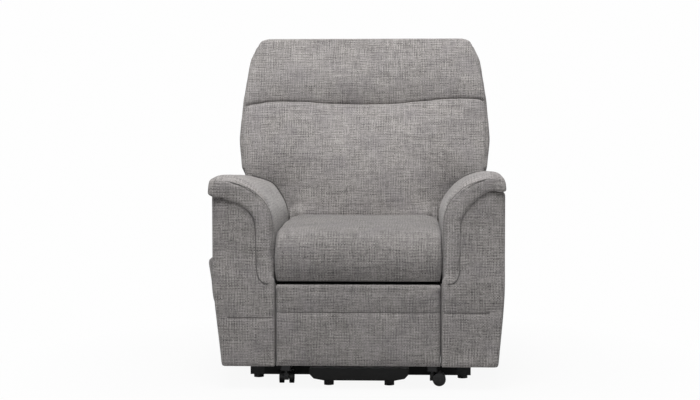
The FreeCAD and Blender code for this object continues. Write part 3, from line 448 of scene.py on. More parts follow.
def baked(piece: bpy.types.Object) -> bpy.types.Object:
    """Apply a piece's modifiers to its mesh.

    Args:
        piece: a piece with modifiers.

    Returns:
        The same piece with its new mesh and no modifiers.
    """
    view = bpy.context.evaluated_depsgraph_get()
    view.update()
    mesh = bpy.data.meshes.new_from_object(piece.evaluated_get(view))
    old = piece.data
    piece.modifiers.clear()
    piece.data = mesh
    if isinstance(old, bpy.types.Mesh):
        bpy.data.meshes.remove(old)
    return piece


def coordinates(mesh: bpy.types.Mesh) -> np.ndarray:
    """A mesh's vertices as an array.

    Args:
        mesh: the mesh.

    Returns:
        One row of x, y and z for each vertex.
    """
    flat = np.empty(len(mesh.vertices) * 3, np.float32)
    mesh.vertices.foreach_get("co", flat)
    return flat.reshape(-1, 3).astype(float)


def place_vertices(mesh: bpy.types.Mesh, spots: np.ndarray) -> None:
    """Write an array back to a mesh's vertices."""
    mesh.vertices.foreach_set("co", spots.astype(np.float32).ravel())
    mesh.update()


def normals(mesh: bpy.types.Mesh) -> np.ndarray:
    """A mesh's vertex normals as an array.

    Args:
        mesh: the mesh.

    Returns:
        One row for each vertex.
    """
    flat = np.empty(len(mesh.vertices) * 3, np.float32)
    mesh.vertex_normals.foreach_get("vector", flat)
    return flat.reshape(-1, 3).astype(float)


def relaxed(piece: bpy.types.Object, rounds: int, share: float = 0.5) -> bpy.types.Object:
    """Round a dense mesh off by moving each vertex towards the mean of its neighbours.

    Args:
        piece: the piece.
        rounds: how many times.
        share: how far each time.

    Returns:
        The same piece.
    """
    mesh = piece.data
    ends = np.empty(len(mesh.edges) * 2, np.int32)
    mesh.edges.foreach_get("vertices", ends)
    first, second = ends.reshape(-1, 2).T
    start, end = np.concatenate([first, second]), np.concatenate([second, first])
    spots = coordinates(mesh)
    size = len(spots)
    count = np.bincount(start, minlength=size).clip(1)
    for _ in range(rounds):
        total = np.stack([np.bincount(start, spots[end, axis], size) for axis in range(3)], 1)
        spots += (total / count[:, None] - spots) * share
    place_vertices(mesh, spots)
    return piece


def fitted(piece: bpy.types.Object, low: Sequence, high: Sequence) -> bpy.types.Object:
    """Scale a piece's vertices to fill a box exactly.

    Args:
        piece: the piece.
        low: the box's low corner.
        high: the box's high corner.

    Returns:
        The same piece.
    """
    spots = coordinates(piece.data)
    start, end = spots.min(0), spots.max(0)
    low, high = np.array(low, float), np.array(high, float)
    place_vertices(piece.data, low + (spots - start) / (end - start) * (high - low))
    return piece


def smooth(piece: bpy.types.Object) -> bpy.types.Object:
    """Shade a piece smooth."""
    piece.data.polygons.foreach_set("use_smooth", [True] * len(piece.data.polygons))
    return piece


def bevelled(piece: bpy.types.Object, width: float, segments: int = 2,
             limit: str = "ANGLE") -> bpy.types.Object:
    """Round a piece's edges off.

    Args:
        piece: the piece.
        width: how far the rounding reaches from an edge.
        segments: how many faces it takes.
        limit: which edges are rounded, in the modifier's own word.

    Returns:
        The same piece, shaded smooth.
    """
    bevel = piece.modifiers.new("edges", "BEVEL")
    bevel.width, bevel.segments, bevel.limit_method = width, segments, limit
    return smooth(baked(piece))


def ramp(values: np.ndarray, start: float | np.ndarray, span: float) -> np.ndarray:
    """Rise from 0 at a start to 1 a span further on, or further back where the span is negative."""
    return np.clip((values - start) / span, 0, 1)


def finish_piece(piece: bpy.types.Object, look: Cloth | Solid, body: str,
                 stands_for: Iterable[str] = ()) -> bpy.types.Object:
    """Give a piece its finish and its place in the frame.

    Args:
        piece: the finished mesh.
        look: its finish.
        body: the frame's body that it rides on.
        stands_for: the frame's nodes that it replaces.

    Returns:
        The same piece.
    """
    piece.data.materials.clear()
    piece.data.materials.append(look.material())
    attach(piece, body)
    if stands_for:
        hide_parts(*stands_for)
    LOG.info("%s: %d faces on %s", piece.name, len(piece.data.polygons), body)
    return piece


# ------------------------------------------------------------------------------------ padding
@dataclass(frozen=True)
class Padding:
    """How a soft piece is filled: remeshed, rounded, blown up as cloth where it is free, and capped."""

    voxel: float = 0.008
    rounding: int = 5
    pressure: float = 4.0
    cap: float = 0.022
    frames: int = 20
    fill: float = 0.8
    simulate: bool = True
    plain_share: float = 0.6
    hold_levels: int = 10

    def fill_out(self, piece: bpy.types.Object,
                 held: Callable[[np.ndarray], np.ndarray] | None = None) -> bpy.types.Object:
        """Turn a plain closed shape into a padded one.

        Args:
            piece: a closed mesh.
            held: gives each vertex a weight from 0, free, to 1, fixed to the frame.

        Returns:
            The same piece with its new mesh.
        """
        recalculated(piece)
        remesh = piece.modifiers.new("remesh", "REMESH")
        remesh.mode = "VOXEL"
        remesh.voxel_size = self.voxel
        baked(piece)
        relaxed(piece, self.rounding)
        rest = coordinates(piece.data)
        weights = held(rest) if held else np.zeros(len(rest))
        if self.simulate:
            moved = self._blow(piece, weights) - rest
            length = np.linalg.norm(moved, axis=1, keepdims=True)
            moved *= np.minimum(1.0, self.cap / np.maximum(length, 1e-9))
        else:
            moved = normals(piece.data) * (self.cap * self.plain_share * (1 - weights))[:, None]
        place_vertices(piece.data, rest + moved)
        relaxed(piece, 2, 0.4)
        return smooth(piece)

    def _blow(self, piece: bpy.types.Object, weights: np.ndarray) -> np.ndarray:
        """Run the cloth.

        Args:
            piece: the remeshed piece.
            weights: how firmly each vertex is held.

        Returns:
            Where the vertices end.
        """
        scene = bpy.context.scene
        scene.frame_set(1)
        hold = piece.vertex_groups.new(name="hold")
        for level in range(1, self.hold_levels + 1):
            chosen = np.flatnonzero(np.round(weights * self.hold_levels) == level)
            if len(chosen):
                hold.add(chosen.tolist(), level / self.hold_levels, "REPLACE")
        cloth = piece.modifiers.new("padding", "CLOTH")
        rules = cloth.settings
        rules.quality = 4
        rules.mass = 0.3
        rules.tension_stiffness = rules.compression_stiffness = 9
        rules.shear_stiffness = 4
        rules.bending_stiffness = 0.5
        rules.use_pressure = True
        rules.uniform_pressure_force = self.pressure
        rules.effector_weights.gravity = 0
        rules.vertex_group_mass = "hold"
        cloth.collision_settings.use_collision = False
        cloth.point_cache.frame_end = self.frames
        for number in range(1, self.frames + 1):
            scene.frame_set(number)
        view = bpy.context.evaluated_depsgraph_get()
        blown = piece.evaluated_get(view).to_mesh()
        spots = coordinates(blown)
        piece.evaluated_get(view).to_mesh_clear()
        piece.modifiers.clear()
        piece.vertex_groups.clear()
        scene.frame_set(1)
        return spots


def sunk_seam(piece: bpy.types.Object, line: Sequence[Vector], depth: float = 0.0022,
              width: float = 0.004, under: float = 0.0002) -> list[Vector]:
    """Sink a seam into a padded piece's front.

    Args:
        piece: the padded piece.
        line: points along the seam.
        depth: how deep the fold is.
        width: how wide the fold is.
        under: how far the seam then lies inside the face.

    Returns:
        The seam's own line in the fold.
    """
    dense = resampled(line, width / 2)
    tree = KDTree(len(dense))
    for number, spot in enumerate(dense):
        tree.insert(spot, number)
    tree.balance()
    spots, out = coordinates(piece.data), normals(piece.data)
    away = np.array([tree.find(spot)[2] for spot in spots])
    sink = -depth * np.exp(-(away / width) ** 2)
    place_vertices(piece.data, spots + out * sink[:, None])
    return laid_on(piece, line, -under)


def squared(spots: np.ndarray, low: float, side: float, reach: float = 0.011, keep: float = 0.35) -> None:
    """Square off a rounded lower corner.

    Args:
        spots: the vertices, changed in place.
        low: the height of the lower edge.
        side: the X of the side to square.
        reach: how far in from each edge the rounding is taken back.
        keep: the share of the rounding that stays.
    """
    near = np.abs(spots[:, 0] - side) < reach
    under = spots[:, 2] < low + reach
    corner = near & under
    spots[corner, 2] = low + (spots[corner, 2] - low) * keep
    spots[corner, 0] = side + (spots[corner, 0] - side) * keep


def creased(spots: np.ndarray, front: float, seam: float, depth: float, above: float = 0.026,
            below: float = 0.007) -> None:
    """Draw an upright panel in towards a seam: slowly from above, quickly from below.

    Args:
        spots: the vertices, changed in place.
        front: the Y of the panel's face.
        seam: the seam's height.
        depth: how far the face is drawn in.
        above: the height over the seam in which the crease fades.
        below: the height under it in which the crease fades.
    """
    over = spots[:, 2] - seam
    fade = np.where(over > 0, np.exp(-over / above), np.exp(over / below))
    spots[:, 1] += depth * fade * ramp(spots[:, 1], front + 0.02, -0.01)


def resampled(line: Sequence[Vector], step: float) -> list[Vector]:
    """Points at an even step along a line.

    Args:
        line: the points.
        step: the distance between two new points, as nearly as each stretch allows.

    Returns:
        The new points, from the first to the last of the line.
    """
    found: list[Vector] = []
    for start, end in zip(line, line[1:]):
        count = max(1, round((end - start).length / step))
        found += [start.lerp(end, number / count) for number in range(count)]
    return found + [line[-1]]


def surface_tree(piece: bpy.types.Object) -> BVHTree:
    """A search tree over a piece's faces.

    Args:
        piece: the piece.

    Returns:
        The tree.
    """
    mesh = bmesh.new()
    mesh.from_mesh(piece.data)
    tree = BVHTree.FromBMesh(mesh)
    mesh.free()
    return tree


def laid_on(piece: bpy.types.Object, line: Sequence[Vector], lift: float,
            reach: float = 0.3) -> list[Vector]:
    """Project a line onto a piece's front.

    Args:
        piece: the piece that it lies on.
        line: the points.
        lift: how far the points stand off it.
        reach: how far in front of each point the search starts.

    Returns:
        The points where they meet the surface; a point that misses is left out.
    """
    tree, way = surface_tree(piece), Vector((0, 1, 0))
    hits = [tree.ray_cast(spot - way * reach, way)[0] for spot in line]
    return [hit - way * lift for hit in hits if hit is not None]


def hugged(piece: bpy.types.Object, line: Sequence[Vector], lift: float) -> list[Vector]:
    """Move each point of a line to the nearest place on a piece, and stand it off by a lift."""
    return [hit[0] + hit[1] * lift for hit in map(surface_tree(piece).find_nearest, line)]


def upright(x: float, z: float, y: float) -> Point:
    """The point of an upright outline at a depth."""
    return (x, y, z)


def extruded(name: str, outline: Sequence[Flat], low: float, high: float,
             place: Callable[[float, float, float], Point] = upright) -> bpy.types.Object:
    """A closed prism over an outline.

    Args:
        name: the piece's name.
        outline: the outline's points in its own plane.
        low: where the prism starts along its depth.
        high: where it ends.
        place: turns outline x, outline y and depth into a point.

    Returns:
        The prism.
    """
    count = len(outline)
    points = [place(x, y, depth) for depth in (low, high) for x, y in outline]
    sides = [(k, (k + 1) % count, (k + 1) % count + count, k + count) for k in range(count)]
    caps = [tuple(range(count))[::-1], tuple(range(count, 2 * count))]
    return recalculated(mesh_object(name, points, sides + caps))


def arc(centre: Flat, radii: Flat, start: float, end: float, count: int) -> list[Flat]:
    """Points along an ellipse's arc.

    Args:
        centre: the ellipse's centre.
        radii: its two radii.
        start: the first angle, in degrees.
        end: the last angle, in degrees.
        count: how many points there are.

    Returns:
        The points.
    """
    turns = [math.radians(start + (end - start) * k / (count - 1)) for k in range(count)]
    return [(centre[0] + radii[0] * math.cos(t), centre[1] + radii[1] * math.sin(t)) for t in turns]


# ------------------------------------------------------------------------------------ seams
@dataclass(frozen=True)
class StitchRow:
    """A row of stitches along a line, made by a node tree with named sizes."""

    pitch: float = 0.0055
    length: float = 0.0042
    thick: float = 0.0009
    under: float = 0.005

    def tree(self) -> bpy.types.NodeTree:
        """The stitch tree, built once: curve in, stitches out.

        Returns:
            The tree.
        """
        name = "stitch_row"
        if name in bpy.data.node_groups:
            return bpy.data.node_groups[name]
        tree = bpy.data.node_groups.new(name, "GeometryNodeTree")
        face = tree.interface
        face.new_socket("Geometry", in_out="INPUT", socket_type="NodeSocketGeometry")
        for title in ("Pitch", "Length", "Thickness"):
            face.new_socket(title, in_out="INPUT", socket_type="NodeSocketFloat")
        face.new_socket("Finish", in_out="INPUT", socket_type="NodeSocketMaterial")
        face.new_socket("Geometry", in_out="OUTPUT", socket_type="NodeSocketGeometry")
        make = Shader(tree)
        given = make.node("NodeGroupInput").outputs
        spaced = make.node("GeometryNodeResampleCurve", {"Curve": given["Geometry"]}, mode="LENGTH")
        tree.links.new(given["Pitch"], spaced.inputs["Length"])
        along = make.node("GeometryNodeInputTangent").outputs[0]
        turned = make.node("FunctionNodeAlignRotationToVector", {"Vector": along}, axis="Z")
        bead = make.node("GeometryNodeMeshUVSphere", {"Segments": 6, "Rings": 4, "Radius": 0.5})
        size = make.node("ShaderNodeCombineXYZ", {0: given["Thickness"], 1: given["Thickness"],
                                                  2: given["Length"]})
        rows = make.node("GeometryNodeInstanceOnPoints", {
            "Points": spaced.outputs[0], "Instance": bead.outputs[0],
            "Rotation": turned.outputs[0], "Scale": size.outputs[0]})
        real = make.node("GeometryNodeRealizeInstances", {"Geometry": rows.outputs[0]})
        dressed = make.node("GeometryNodeSetMaterial", {"Geometry": real.outputs[0],
                                                       "Material": given["Finish"]})
        make.node("NodeGroupOutput", {"Geometry": dressed.outputs[0]})
        return tree

    def beside(self, name: str, piece: bpy.types.Object, line: Sequence[Vector],
               body: str) -> bpy.types.Object:
        """Sew a row on a piece's front, just under a seam.

        Args:
            name: the row's name.
            piece: the piece that carries the stitches.
            line: the seam's points.
            body: the frame's body that the row rides on.

        Returns:
            The baked row.
        """
        lower = [spot - Vector((0, 0, self.under)) for spot in line]
        return self.sew(name, laid_on(piece, lower, 0.0), body)

    def sew(self, name: str, line: Sequence[Vector], body: str) -> bpy.types.Object:
        """Sew one row along a line.

        Args:
            name: the row's name.
            line: the points that it follows.
            body: the frame's body that it rides on.

        Returns:
            The baked row.
        """
        path = bpy.data.curves.new(name + "_path", "CURVE")
        path.dimensions = "3D"
        spline = path.splines.new("POLY")
        spline.points.add(len(line) - 1)
        for spot, point in zip(line, spline.points):
            point.co = (*spot, 1.0)
        row = linked(name, path)
        step = row.modifiers.new("stitches", "NODES")
        step.node_group = self.tree()
        names = {item.name: item.identifier for item in step.node_group.interface.items_tree
                 if item.in_out == "INPUT"}
        for title, size in (("Pitch", self.pitch), ("Length", self.length), ("Thickness", self.thick)):
            step[names[title]] = size
        step[names["Finish"]] = THREAD.material()
        view = bpy.context.evaluated_depsgraph_get()
        view.update()
        mesh = bpy.data.meshes.new_from_object(row.evaluated_get(view))
        bpy.data.objects.remove(row)
        bpy.data.curves.remove(path)
        return finish_piece(smooth(linked(name, mesh)), THREAD, body)


def welt(name: str, line: Sequence[Vector], radius: float, look: Cloth | Solid, body: str,
         sides: int = 8) -> bpy.types.Object:
    """A round tube along points, used for the dark lines that paint in the shade of seams, folds and gaps.

    Args:
        name: the piece's name.
        line: its points.
        radius: its radius.
        look: its finish.
        body: the frame's body that it rides on.
        sides: how many sides its section has.

    Returns:
        The piece.
    """
    askew = Vector((0.31, 0.17, 0.93))
    turns = [2 * math.pi * k / sides for k in range(sides)]
    count = len(line)
    points: list[Vector] = []
    for number, spot in enumerate(line):
        before, after = line[max(number - 1, 0)], line[min(number + 1, count - 1)]
        way = (after - before).normalized()
        across = way.cross(askew).normalized()
        up = way.cross(across)
        points += [spot + (across * math.cos(turn) + up * math.sin(turn)) * radius for turn in turns]
    faces = [(r * sides + k, r * sides + (k + 1) % sides, (r + 1) * sides + (k + 1) % sides,
              (r + 1) * sides + k) for r in range(count - 1) for k in range(sides)]
    faces += [tuple(range(sides)), tuple(range((count - 1) * sides, count * sides))]
    return finish_piece(smooth(recalculated(mesh_object(name, points, faces))), look, body)


def joined(name: str, parts: Sequence[bpy.types.Object]) -> bpy.types.Object:
    """One piece out of several.

    Args:
        name: the new piece's name.
        parts: the pieces, which are removed.

    Returns:
        The new piece.
    """
    points: list[Vector] = []
    faces: list[tuple] = []
    for part in parts:
        start = len(points)
        points += [vertex.co.copy() for vertex in part.data.vertices]
        faces += [tuple(start + corner for corner in face.vertices) for face in part.data.polygons]
        bpy.data.objects.remove(part)
    return mesh_object(name, points, faces)


def step_up(value: float, low: float, high: float) -> float:
    """A smooth step from 0 at low to 1 at high."""
    share = min(1.0, max(0.0, (value - low) / (high - low)))
    return share * share * (3 - 2 * share)


# ------------------------------------------------------------------------------------ the back
@dataclass
class LeanedFrame:
    """The back's own upright frame, leaned about the recline hinge: x, depth v and height s."""

    hinge_y: float
    hinge_z: float
    rake: float = math.radians(15.6)

    def world(self, x: float, v: float, s: float) -> Point:
        """A point of the back in the chair's frame.

        Args:
            x: its place across.
            v: its depth behind the hinge.
            s: its height over the hinge, along the back.

        Returns:
            The point.
        """
        return (x, self.hinge_y + s * math.sin(self.rake) + v * math.cos(self.rake),
                self.hinge_z + s * math.cos(self.rake) - v * math.sin(self.rake))

    def lean(self, piece: bpy.types.Object) -> bpy.types.Object:
        """Move a piece drawn upright into the chair's frame.

        Args:
            piece: the piece, in the back's own frame.

        Returns:
            The same piece.
        """
        spots = coordinates(piece.data)
        sine, cosine = math.sin(self.rake), math.cos(self.rake)
        x, v, s = spots.T
        moved = np.stack([x, self.hinge_y + s * sine + v * cosine,
                          self.hinge_z + s * cosine - v * sine], 1)
        place_vertices(piece.data, moved)
        return piece

    def upright(self, piece: bpy.types.Object) -> np.ndarray:
        """A piece's vertices in the back's own frame.

        Args:
            piece: a piece in the chair's frame.

        Returns:
            Its vertices as x, v and s.
        """
        x, y, z = coordinates(piece.data).T
        y, z = y - self.hinge_y, z - self.hinge_z
        sine, cosine = math.sin(self.rake), math.cos(self.rake)
        return np.stack([x, y * cosine - z * sine, y * sine + z * cosine], 1)


@dataclass
class Backrest:
    """The back: an outer shell with boxed sides, a lumbar cushion and a head cushion."""

    lean: LeanedFrame
    nodes: dict
    wide: float = 0.425
    flare_at: float = 0.351
    flare: float = 0.52
    inset: float = 0.0135
    low: float = 0.066
    low_half: float = 0.243
    wing: float = 0.180
    wing_corner: float = 0.024
    top: float = 0.688
    top_corner: float = 0.03
    lumbar_face: float = -0.076
    head_face: float = -0.074
    cushion_back: float = -0.020
    seam_half: float = 0.405
    head_radius: float = 0.0022
    edge_radius: float = 0.002
    lumbar_box: tuple = ((-0.4125, -0.083, 0.060), (0.4125, -0.015, 0.480))
    head_box: tuple = ((-0.4095, -0.086, 0.4525), (0.4095, -0.015, 0.690))
    rail_box: tuple = ((-0.2466, -0.0642, 0.0380), (0.2466, -0.0622, 0.1000))
    seam_points: tuple = ((-0.412, 0.4440), (-0.36, 0.4540), (-0.295, 0.4610), (-0.20, 0.4580),
                          (-0.10, 0.4510), (0.0, 0.4480), (0.10, 0.4510), (0.20, 0.4610),
                          (0.314, 0.4710), (0.37, 0.4700), (0.412, 0.4600))
    filling: Padding = field(default_factory=lambda: Padding(0.008, 6, 4.0, 0.014, fill=0.75))

    def half_width(self, s: float | np.ndarray) -> float | np.ndarray:
        """The outer half-width at a height."""
        return self.wide - self.flare * (s - self.flare_at) ** 2

    def seam_height(self, x: float) -> float:
        """The head seam's height at a place across."""
        across = [point[0] for point in self.seam_points]
        return float(np.interp(x, across, [point[1] for point in self.seam_points]))

    def outline(self, top: float, inset: float) -> list[Flat]:
        """The right half of an outline, from the middle of the bottom to the middle of the top.

        Args:
            top: the height of the top edge.
            inset: how far this outline lies inside the shell's.

        Returns:
            Points in x and s.
        """
        reach = self.half_width(self.wing) - inset
        turn, corner = self.wing_corner, self.top_corner
        foot, (out, under) = 0.02, (0.12, 0.115)
        right: list[Flat] = [(0.0, self.low), (self.low_half * 0.5, self.low)]
        right += arc((self.low_half - foot, self.low + foot), (foot, foot), -90, 0, 5)
        right += arc((self.low_half + out, self.wing - under), (out, under), 180, 90, 9)
        right += arc((reach - turn, self.wing + turn), (turn, turn), -90, 0, 9)
        heights = np.linspace(self.wing + turn + 0.01, top - corner - 0.005, 14)
        right += [(self.half_width(s) - inset, s) for s in heights]
        edge = self.half_width(top - corner) - inset
        right += arc((edge - corner, top - corner), (corner, corner), 6, 90, 8)
        right += [(edge * 0.5, top), (0.0, top)]
        return right

    def ring(self, right: Sequence[Flat]) -> list[Flat]:
        """A whole outline out of its right half."""
        return list(right) + [(-x, s) for x, s in list(right)[-2:0:-1]]

    def build(self) -> list[bpy.types.Object]:
        """Build and dress the whole back.

        Returns:
            The pieces.
        """
        cover = self.lumbar()
        return [self.shell(), cover, self.head(), self.apron(), *self.seams(cover)]

    def shell(self) -> bpy.types.Object:
        """The outer shell behind the cushions, from the frame's own solid, rounded.

        Returns:
            The piece.
        """
        solid = self.nodes["outside_back"]
        piece = linked("outside_back_cover", solid.data.copy())
        spots = self.lean.upright(piece)
        low, high = spots.min(0), spots.max(0)
        place_vertices(piece.data, spots)
        recalculated(piece)
        Padding(0.0075, 5, cap=0.004, fill=0.9, simulate=False).fill_out(piece)
        fitted(piece, low, high)
        self.lean.lean(piece)
        return finish_piece(piece, CLOTH, "backrest", ["outside_back"])

    def apron(self) -> bpy.types.Object:
        """The cloth drawn over the rail under the lumbar cushion, seen when the back reclines.

        Returns:
            The piece.
        """
        (left, front, low), (right, behind, high) = self.rail_box
        outline = [(left, low), (right, low), (right, high), (left, high)]
        piece = bevelled(extruded("back_apron", outline, front, behind), 0.0007)
        return finish_piece(self.lean.lean(piece), CLOTH, "backrest")

    def lumbar(self) -> bpy.types.Object:
        """The lumbar cushion with its two wings, under the head seam.

        Returns:
            The piece.
        """
        right = [point for point in self.outline(0.70, self.inset) if point[1] < 0.452]
        top = [(x, self.seam_height(x)) for x in np.linspace(self.seam_half, -self.seam_half, 25)]
        left = [(-x, s) for x, s in right[::-1][:-1]]
        face = extruded("lumbar_face", right + top + left, self.lumbar_face, self.cushion_back)
        ledge = [(-0.365, 0.10), (-0.30, self.low), (0.30, self.low), (0.365, 0.10), (0.365, 0.40),
                 (-0.365, 0.40)]
        core = extruded("lumbar_core", ledge, -0.060, -0.018)
        piece = joined("lumbar_cover", [face, core])
        self.filling.fill_out(piece, self.held)
        fitted(piece, *self.lumbar_box)
        self.crown(piece, height=0.245, spread=0.12, rise=0.021)
        self.roll_under(piece)
        self.lean.lean(piece)
        return finish_piece(piece, BACK_CLOTH, "backrest", ["lumbar_cushion"])

    def head(self) -> bpy.types.Object:
        """The head cushion above the seam.

        Returns:
            The piece.
        """
        right = [point for point in self.outline(self.top, self.inset) if point[1] > 0.48]
        low = [(x, self.seam_height(x) + 0.001)
               for x in np.linspace(-self.seam_half, self.seam_half, 25)]
        left = [(-x, s) for x, s in right[::-1][1:]]
        piece = extruded("head_cover", low + right + left, self.head_face, self.cushion_back)
        self.filling.fill_out(piece, self.held)
        fitted(piece, *self.head_box)
        self.tuck_in(piece, depth=0.019, height=0.080)
        self.lean.lean(piece)
        return finish_piece(piece, HEAD_CLOTH, "backrest", ["head_cushion"])

    def tuck_in(self, piece: bpy.types.Object, depth: float, height: float) -> None:
        """Draw the head cushion's front in towards the head seam, most in the middle.

        Args:
            piece: the upright head cushion.
            depth: how far it is drawn in.
            height: how far over the seam it starts.
        """
        spots = coordinates(piece.data)
        seam = np.interp(spots[:, 0], *zip(*self.seam_points))
        tuck = (1 - ramp(spots[:, 2], seam, height)) ** 1.5
        middle = 0.35 + 0.60 * np.exp(-(spots[:, 0] / 0.17) ** 2)
        spots[:, 1] += depth * tuck * ramp(spots[:, 1], -0.03, -0.03) * middle
        place_vertices(piece.data, spots)

    def held(self, spots: np.ndarray) -> np.ndarray:
        """How firmly each place of a cushion is held: its back and its sides, but not its face.

        Args:
            spots: the upright cushion's vertices.

        Returns:
            A weight for each of them, from 0, free, to 1, held.
        """
        reach = self.half_width(spots[:, 2]) - self.inset
        behind = ramp(spots[:, 1], -0.066, 0.018)
        beside = ramp(np.abs(spots[:, 0]), reach - 0.020, 0.014)
        above = ramp(spots[:, 2], 0.672, 0.010)
        seam = np.interp(spots[:, 0], *zip(*self.seam_points))
        sewn = 0.8 * (1 - ramp(np.abs(spots[:, 2] - seam), 0, 0.022))
        return np.maximum.reduce([behind, beside, above, sewn])

    def crown(self, piece: bpy.types.Object, height: float, spread: float, rise: float) -> None:
        """Let the front of an upright cushion swell gently.

        Args:
            piece: the cushion.
            height: where it swells most.
            spread: how far up and down the swell reaches.
            rise: how far it comes forward.
        """
        spots = coordinates(piece.data)
        front = ramp(spots[:, 1], -0.03, -0.04)
        share = np.exp(-((spots[:, 2] - height) / spread) ** 2) * (1 - (spots[:, 0] / 0.43) ** 2).clip(0, 1)
        spots[:, 1] -= rise * share * front
        place_vertices(piece.data, spots)

    def roll_under(self, piece: bpy.types.Object) -> None:
        """Turn the lower ends of the wings under, towards the arms, and square the middle's foot.

        Args:
            piece: the upright lumbar cushion.
        """
        roll, flat, upright_share = 0.013, 0.35, 0.75
        face, foot = self.lumbar_box[0][1:]
        spots = coordinates(piece.data)
        aside = np.abs(spots[:, 0])
        under = ramp(spots[:, 2], 0.285, -0.115)
        spots[:, 1] += roll * ramp(spots[:, 1], -0.03, -0.04) * ramp(aside, 0.15, 0.12) * under ** 1.5
        middle = ramp(spots[:, 2], 0.112, -0.022) * ramp(aside, 0.235, -0.02) * (spots[:, 1] < -0.045)
        spots[:, 2] += (foot - spots[:, 2]) * flat * middle
        spots[:, 1] += (face - spots[:, 1]) * upright_share * middle
        place_vertices(piece.data, spots)

    def seams(self, cover: bpy.types.Object) -> list[bpy.types.Object]:
        """Dark tubes of painted shade where the boxed sides meet the front cushions, and where the head tucks
        in.

        Args:
            cover: the lumbar cushion, which carries the stitches under the head seam.

        Returns:
            The painted shadow tubes and the stitches.
        """
        made = []
        line = [Vector(self.lean.world(x, -0.046, self.seam_height(x) + 0.001))
                for x in np.linspace(-0.402, 0.402, 49)]
        # The head seam's dark tube paints the shade in the crease under the head cushion.
        made.append(welt("head_seam_fold", line, self.head_radius, SHADOW_SEAM, "backrest"))
        front = [Vector(self.lean.world(x, -0.100, self.seam_height(x) - 0.003))
                 for x in np.linspace(-0.37, 0.37, 60)]
        made.append(StitchRow().beside("head_seam_stitches", cover, front, "backrest"))
        # A dark tube round the cushions' outline paints the shade where they meet the boxed sides.
        right = self.outline(self.top, self.inset - 0.0005)
        ring = [(x, s) for x, s in self.ring(right) if s > 0.2]
        start = max(range(len(ring)), key=lambda k: math.dist(ring[k], ring[k - 1]))
        ring = ring[start:] + ring[:start]
        line = [Vector(self.lean.world(x, -0.030, s)) for x, s in ring]
        edge = resampled(line, 0.012)
        made.append(welt("back_edge_painted_shadow", edge, self.edge_radius, SHADOW_SEAM, "backrest"))
        return made


# ------------------------------------------------------------------------------------ seat
@dataclass
class SeatCushion:
    """The seat: a crowned cushion with a waterfall front between the two arms."""

    half: float = 0.2487
    front: float = -0.446
    back: float = 0.0965
    low: float = 0.3255
    under: float = 0.3413
    lip: float = 0.024
    top: float = 0.489
    rear_top: float = 0.4905
    crown: float = 0.004
    filling: Padding = field(default_factory=lambda: Padding(0.008, 4, 4.0, 0.020, fill=0.85))

    def profile(self) -> list[Flat]:
        """The cushion's side profile: up the front, over the top and back under the lip.

        Returns:
            Points in y and z.
        """
        front = [(self.front + 0.012, self.low), (self.front + 0.003, self.low + 0.03),
                 (self.front, self.low + 0.06), (self.front + 0.001, self.low + 0.09),
                 (self.front + 0.010, self.low + 0.118), (self.front + 0.032, self.low + 0.142),
                 (self.front + 0.070, self.low + 0.156), (self.front + 0.13, self.low + 0.1615)]
        return front + [(-0.16, self.low + 0.163), (0.0, self.low + 0.162),
                        (self.back, self.low + 0.160), (self.back, self.under),
                        (self.front + self.lip, self.under), (self.front + self.lip, self.low)]

    def build(self) -> list[bpy.types.Object]:
        """Build and dress the cushion.

        Returns:
            The piece, alone in its list.
        """
        reach = self.half - 0.002
        piece = extruded("seat_cover", self.profile(), -reach, reach,
                         lambda y, z, x: (x, y, z))
        self.filling.fill_out(piece, self.held)
        fitted(piece, (-self.half, self.front, self.low), (self.half, self.back, self.top))
        self.flatten(piece)
        finish_piece(piece, SEAT_CLOTH, "chassis", ["seat_cushion"])
        return [piece]

    def held(self, spots: np.ndarray) -> np.ndarray:
        """How firmly each place is held: the underside, the sides and the rear end.

        Args:
            spots: the cushion's vertices.

        Returns:
            A weight for each of them, from 0, free, to 1, held.
        """
        floor = np.where(spots[:, 1] > self.front + self.lip - 0.012, self.under, self.low)
        under = ramp(spots[:, 2], floor + 0.022, -0.012)
        behind = ramp(spots[:, 1], self.back - 0.03, 0.02)
        beside = ramp(np.abs(spots[:, 0]), self.half - 0.026, 0.016)
        return np.maximum.reduce([under, behind, beside])

    def flatten(self, piece: bpy.types.Object) -> None:
        """Sit the lip flat over the leg rest, and bring the crown up to meet the back.

        Args:
            piece: the filled cushion.
        """
        lip_rise, lip_share, rear_share = 0.020, 0.8, 0.9
        spots = coordinates(piece.data)
        under = ramp(spots[:, 2], self.low + lip_rise, -lip_rise)
        spots[:, 2] += (self.low - spots[:, 2]) * under ** 2 * lip_share
        spots[:, 2] += self.crown * ramp(spots[:, 1], -0.30, 0.30) * ramp(spots[:, 2], 0.42, 0.05)
        middle = 1 - ramp(np.abs(spots[:, 0]), 0.205, 0.042)
        edge = ramp(spots[:, 1], 0.015, 0.05) * ramp(spots[:, 2], 0.44, 0.03)
        spots[:, 2] += (self.rear_top - spots[:, 2]) * rear_share * edge * middle
        place_vertices(piece.data, spots)


# ------------------------------------------------------------------------------------ arms
# The left arm's bend line, as |x| and z, from the outer corner over the front and down inside.
LEFT_BEND = ((0.410, 0.5700), (0.400, 0.5725), (0.3833, 0.5715), (0.3650, 0.5655), (0.3407, 0.5500),
             (0.3240, 0.5330), (0.3118, 0.5140), (0.3073, 0.4960), (0.3055, 0.4700), (0.3045, 0.4300),
             (0.3035, 0.3900), (0.3020, 0.3600), (0.2995, 0.3460), (0.2940, 0.3330), (0.2860, 0.3250),
             (0.2770, 0.3205), (0.2660, 0.3190))


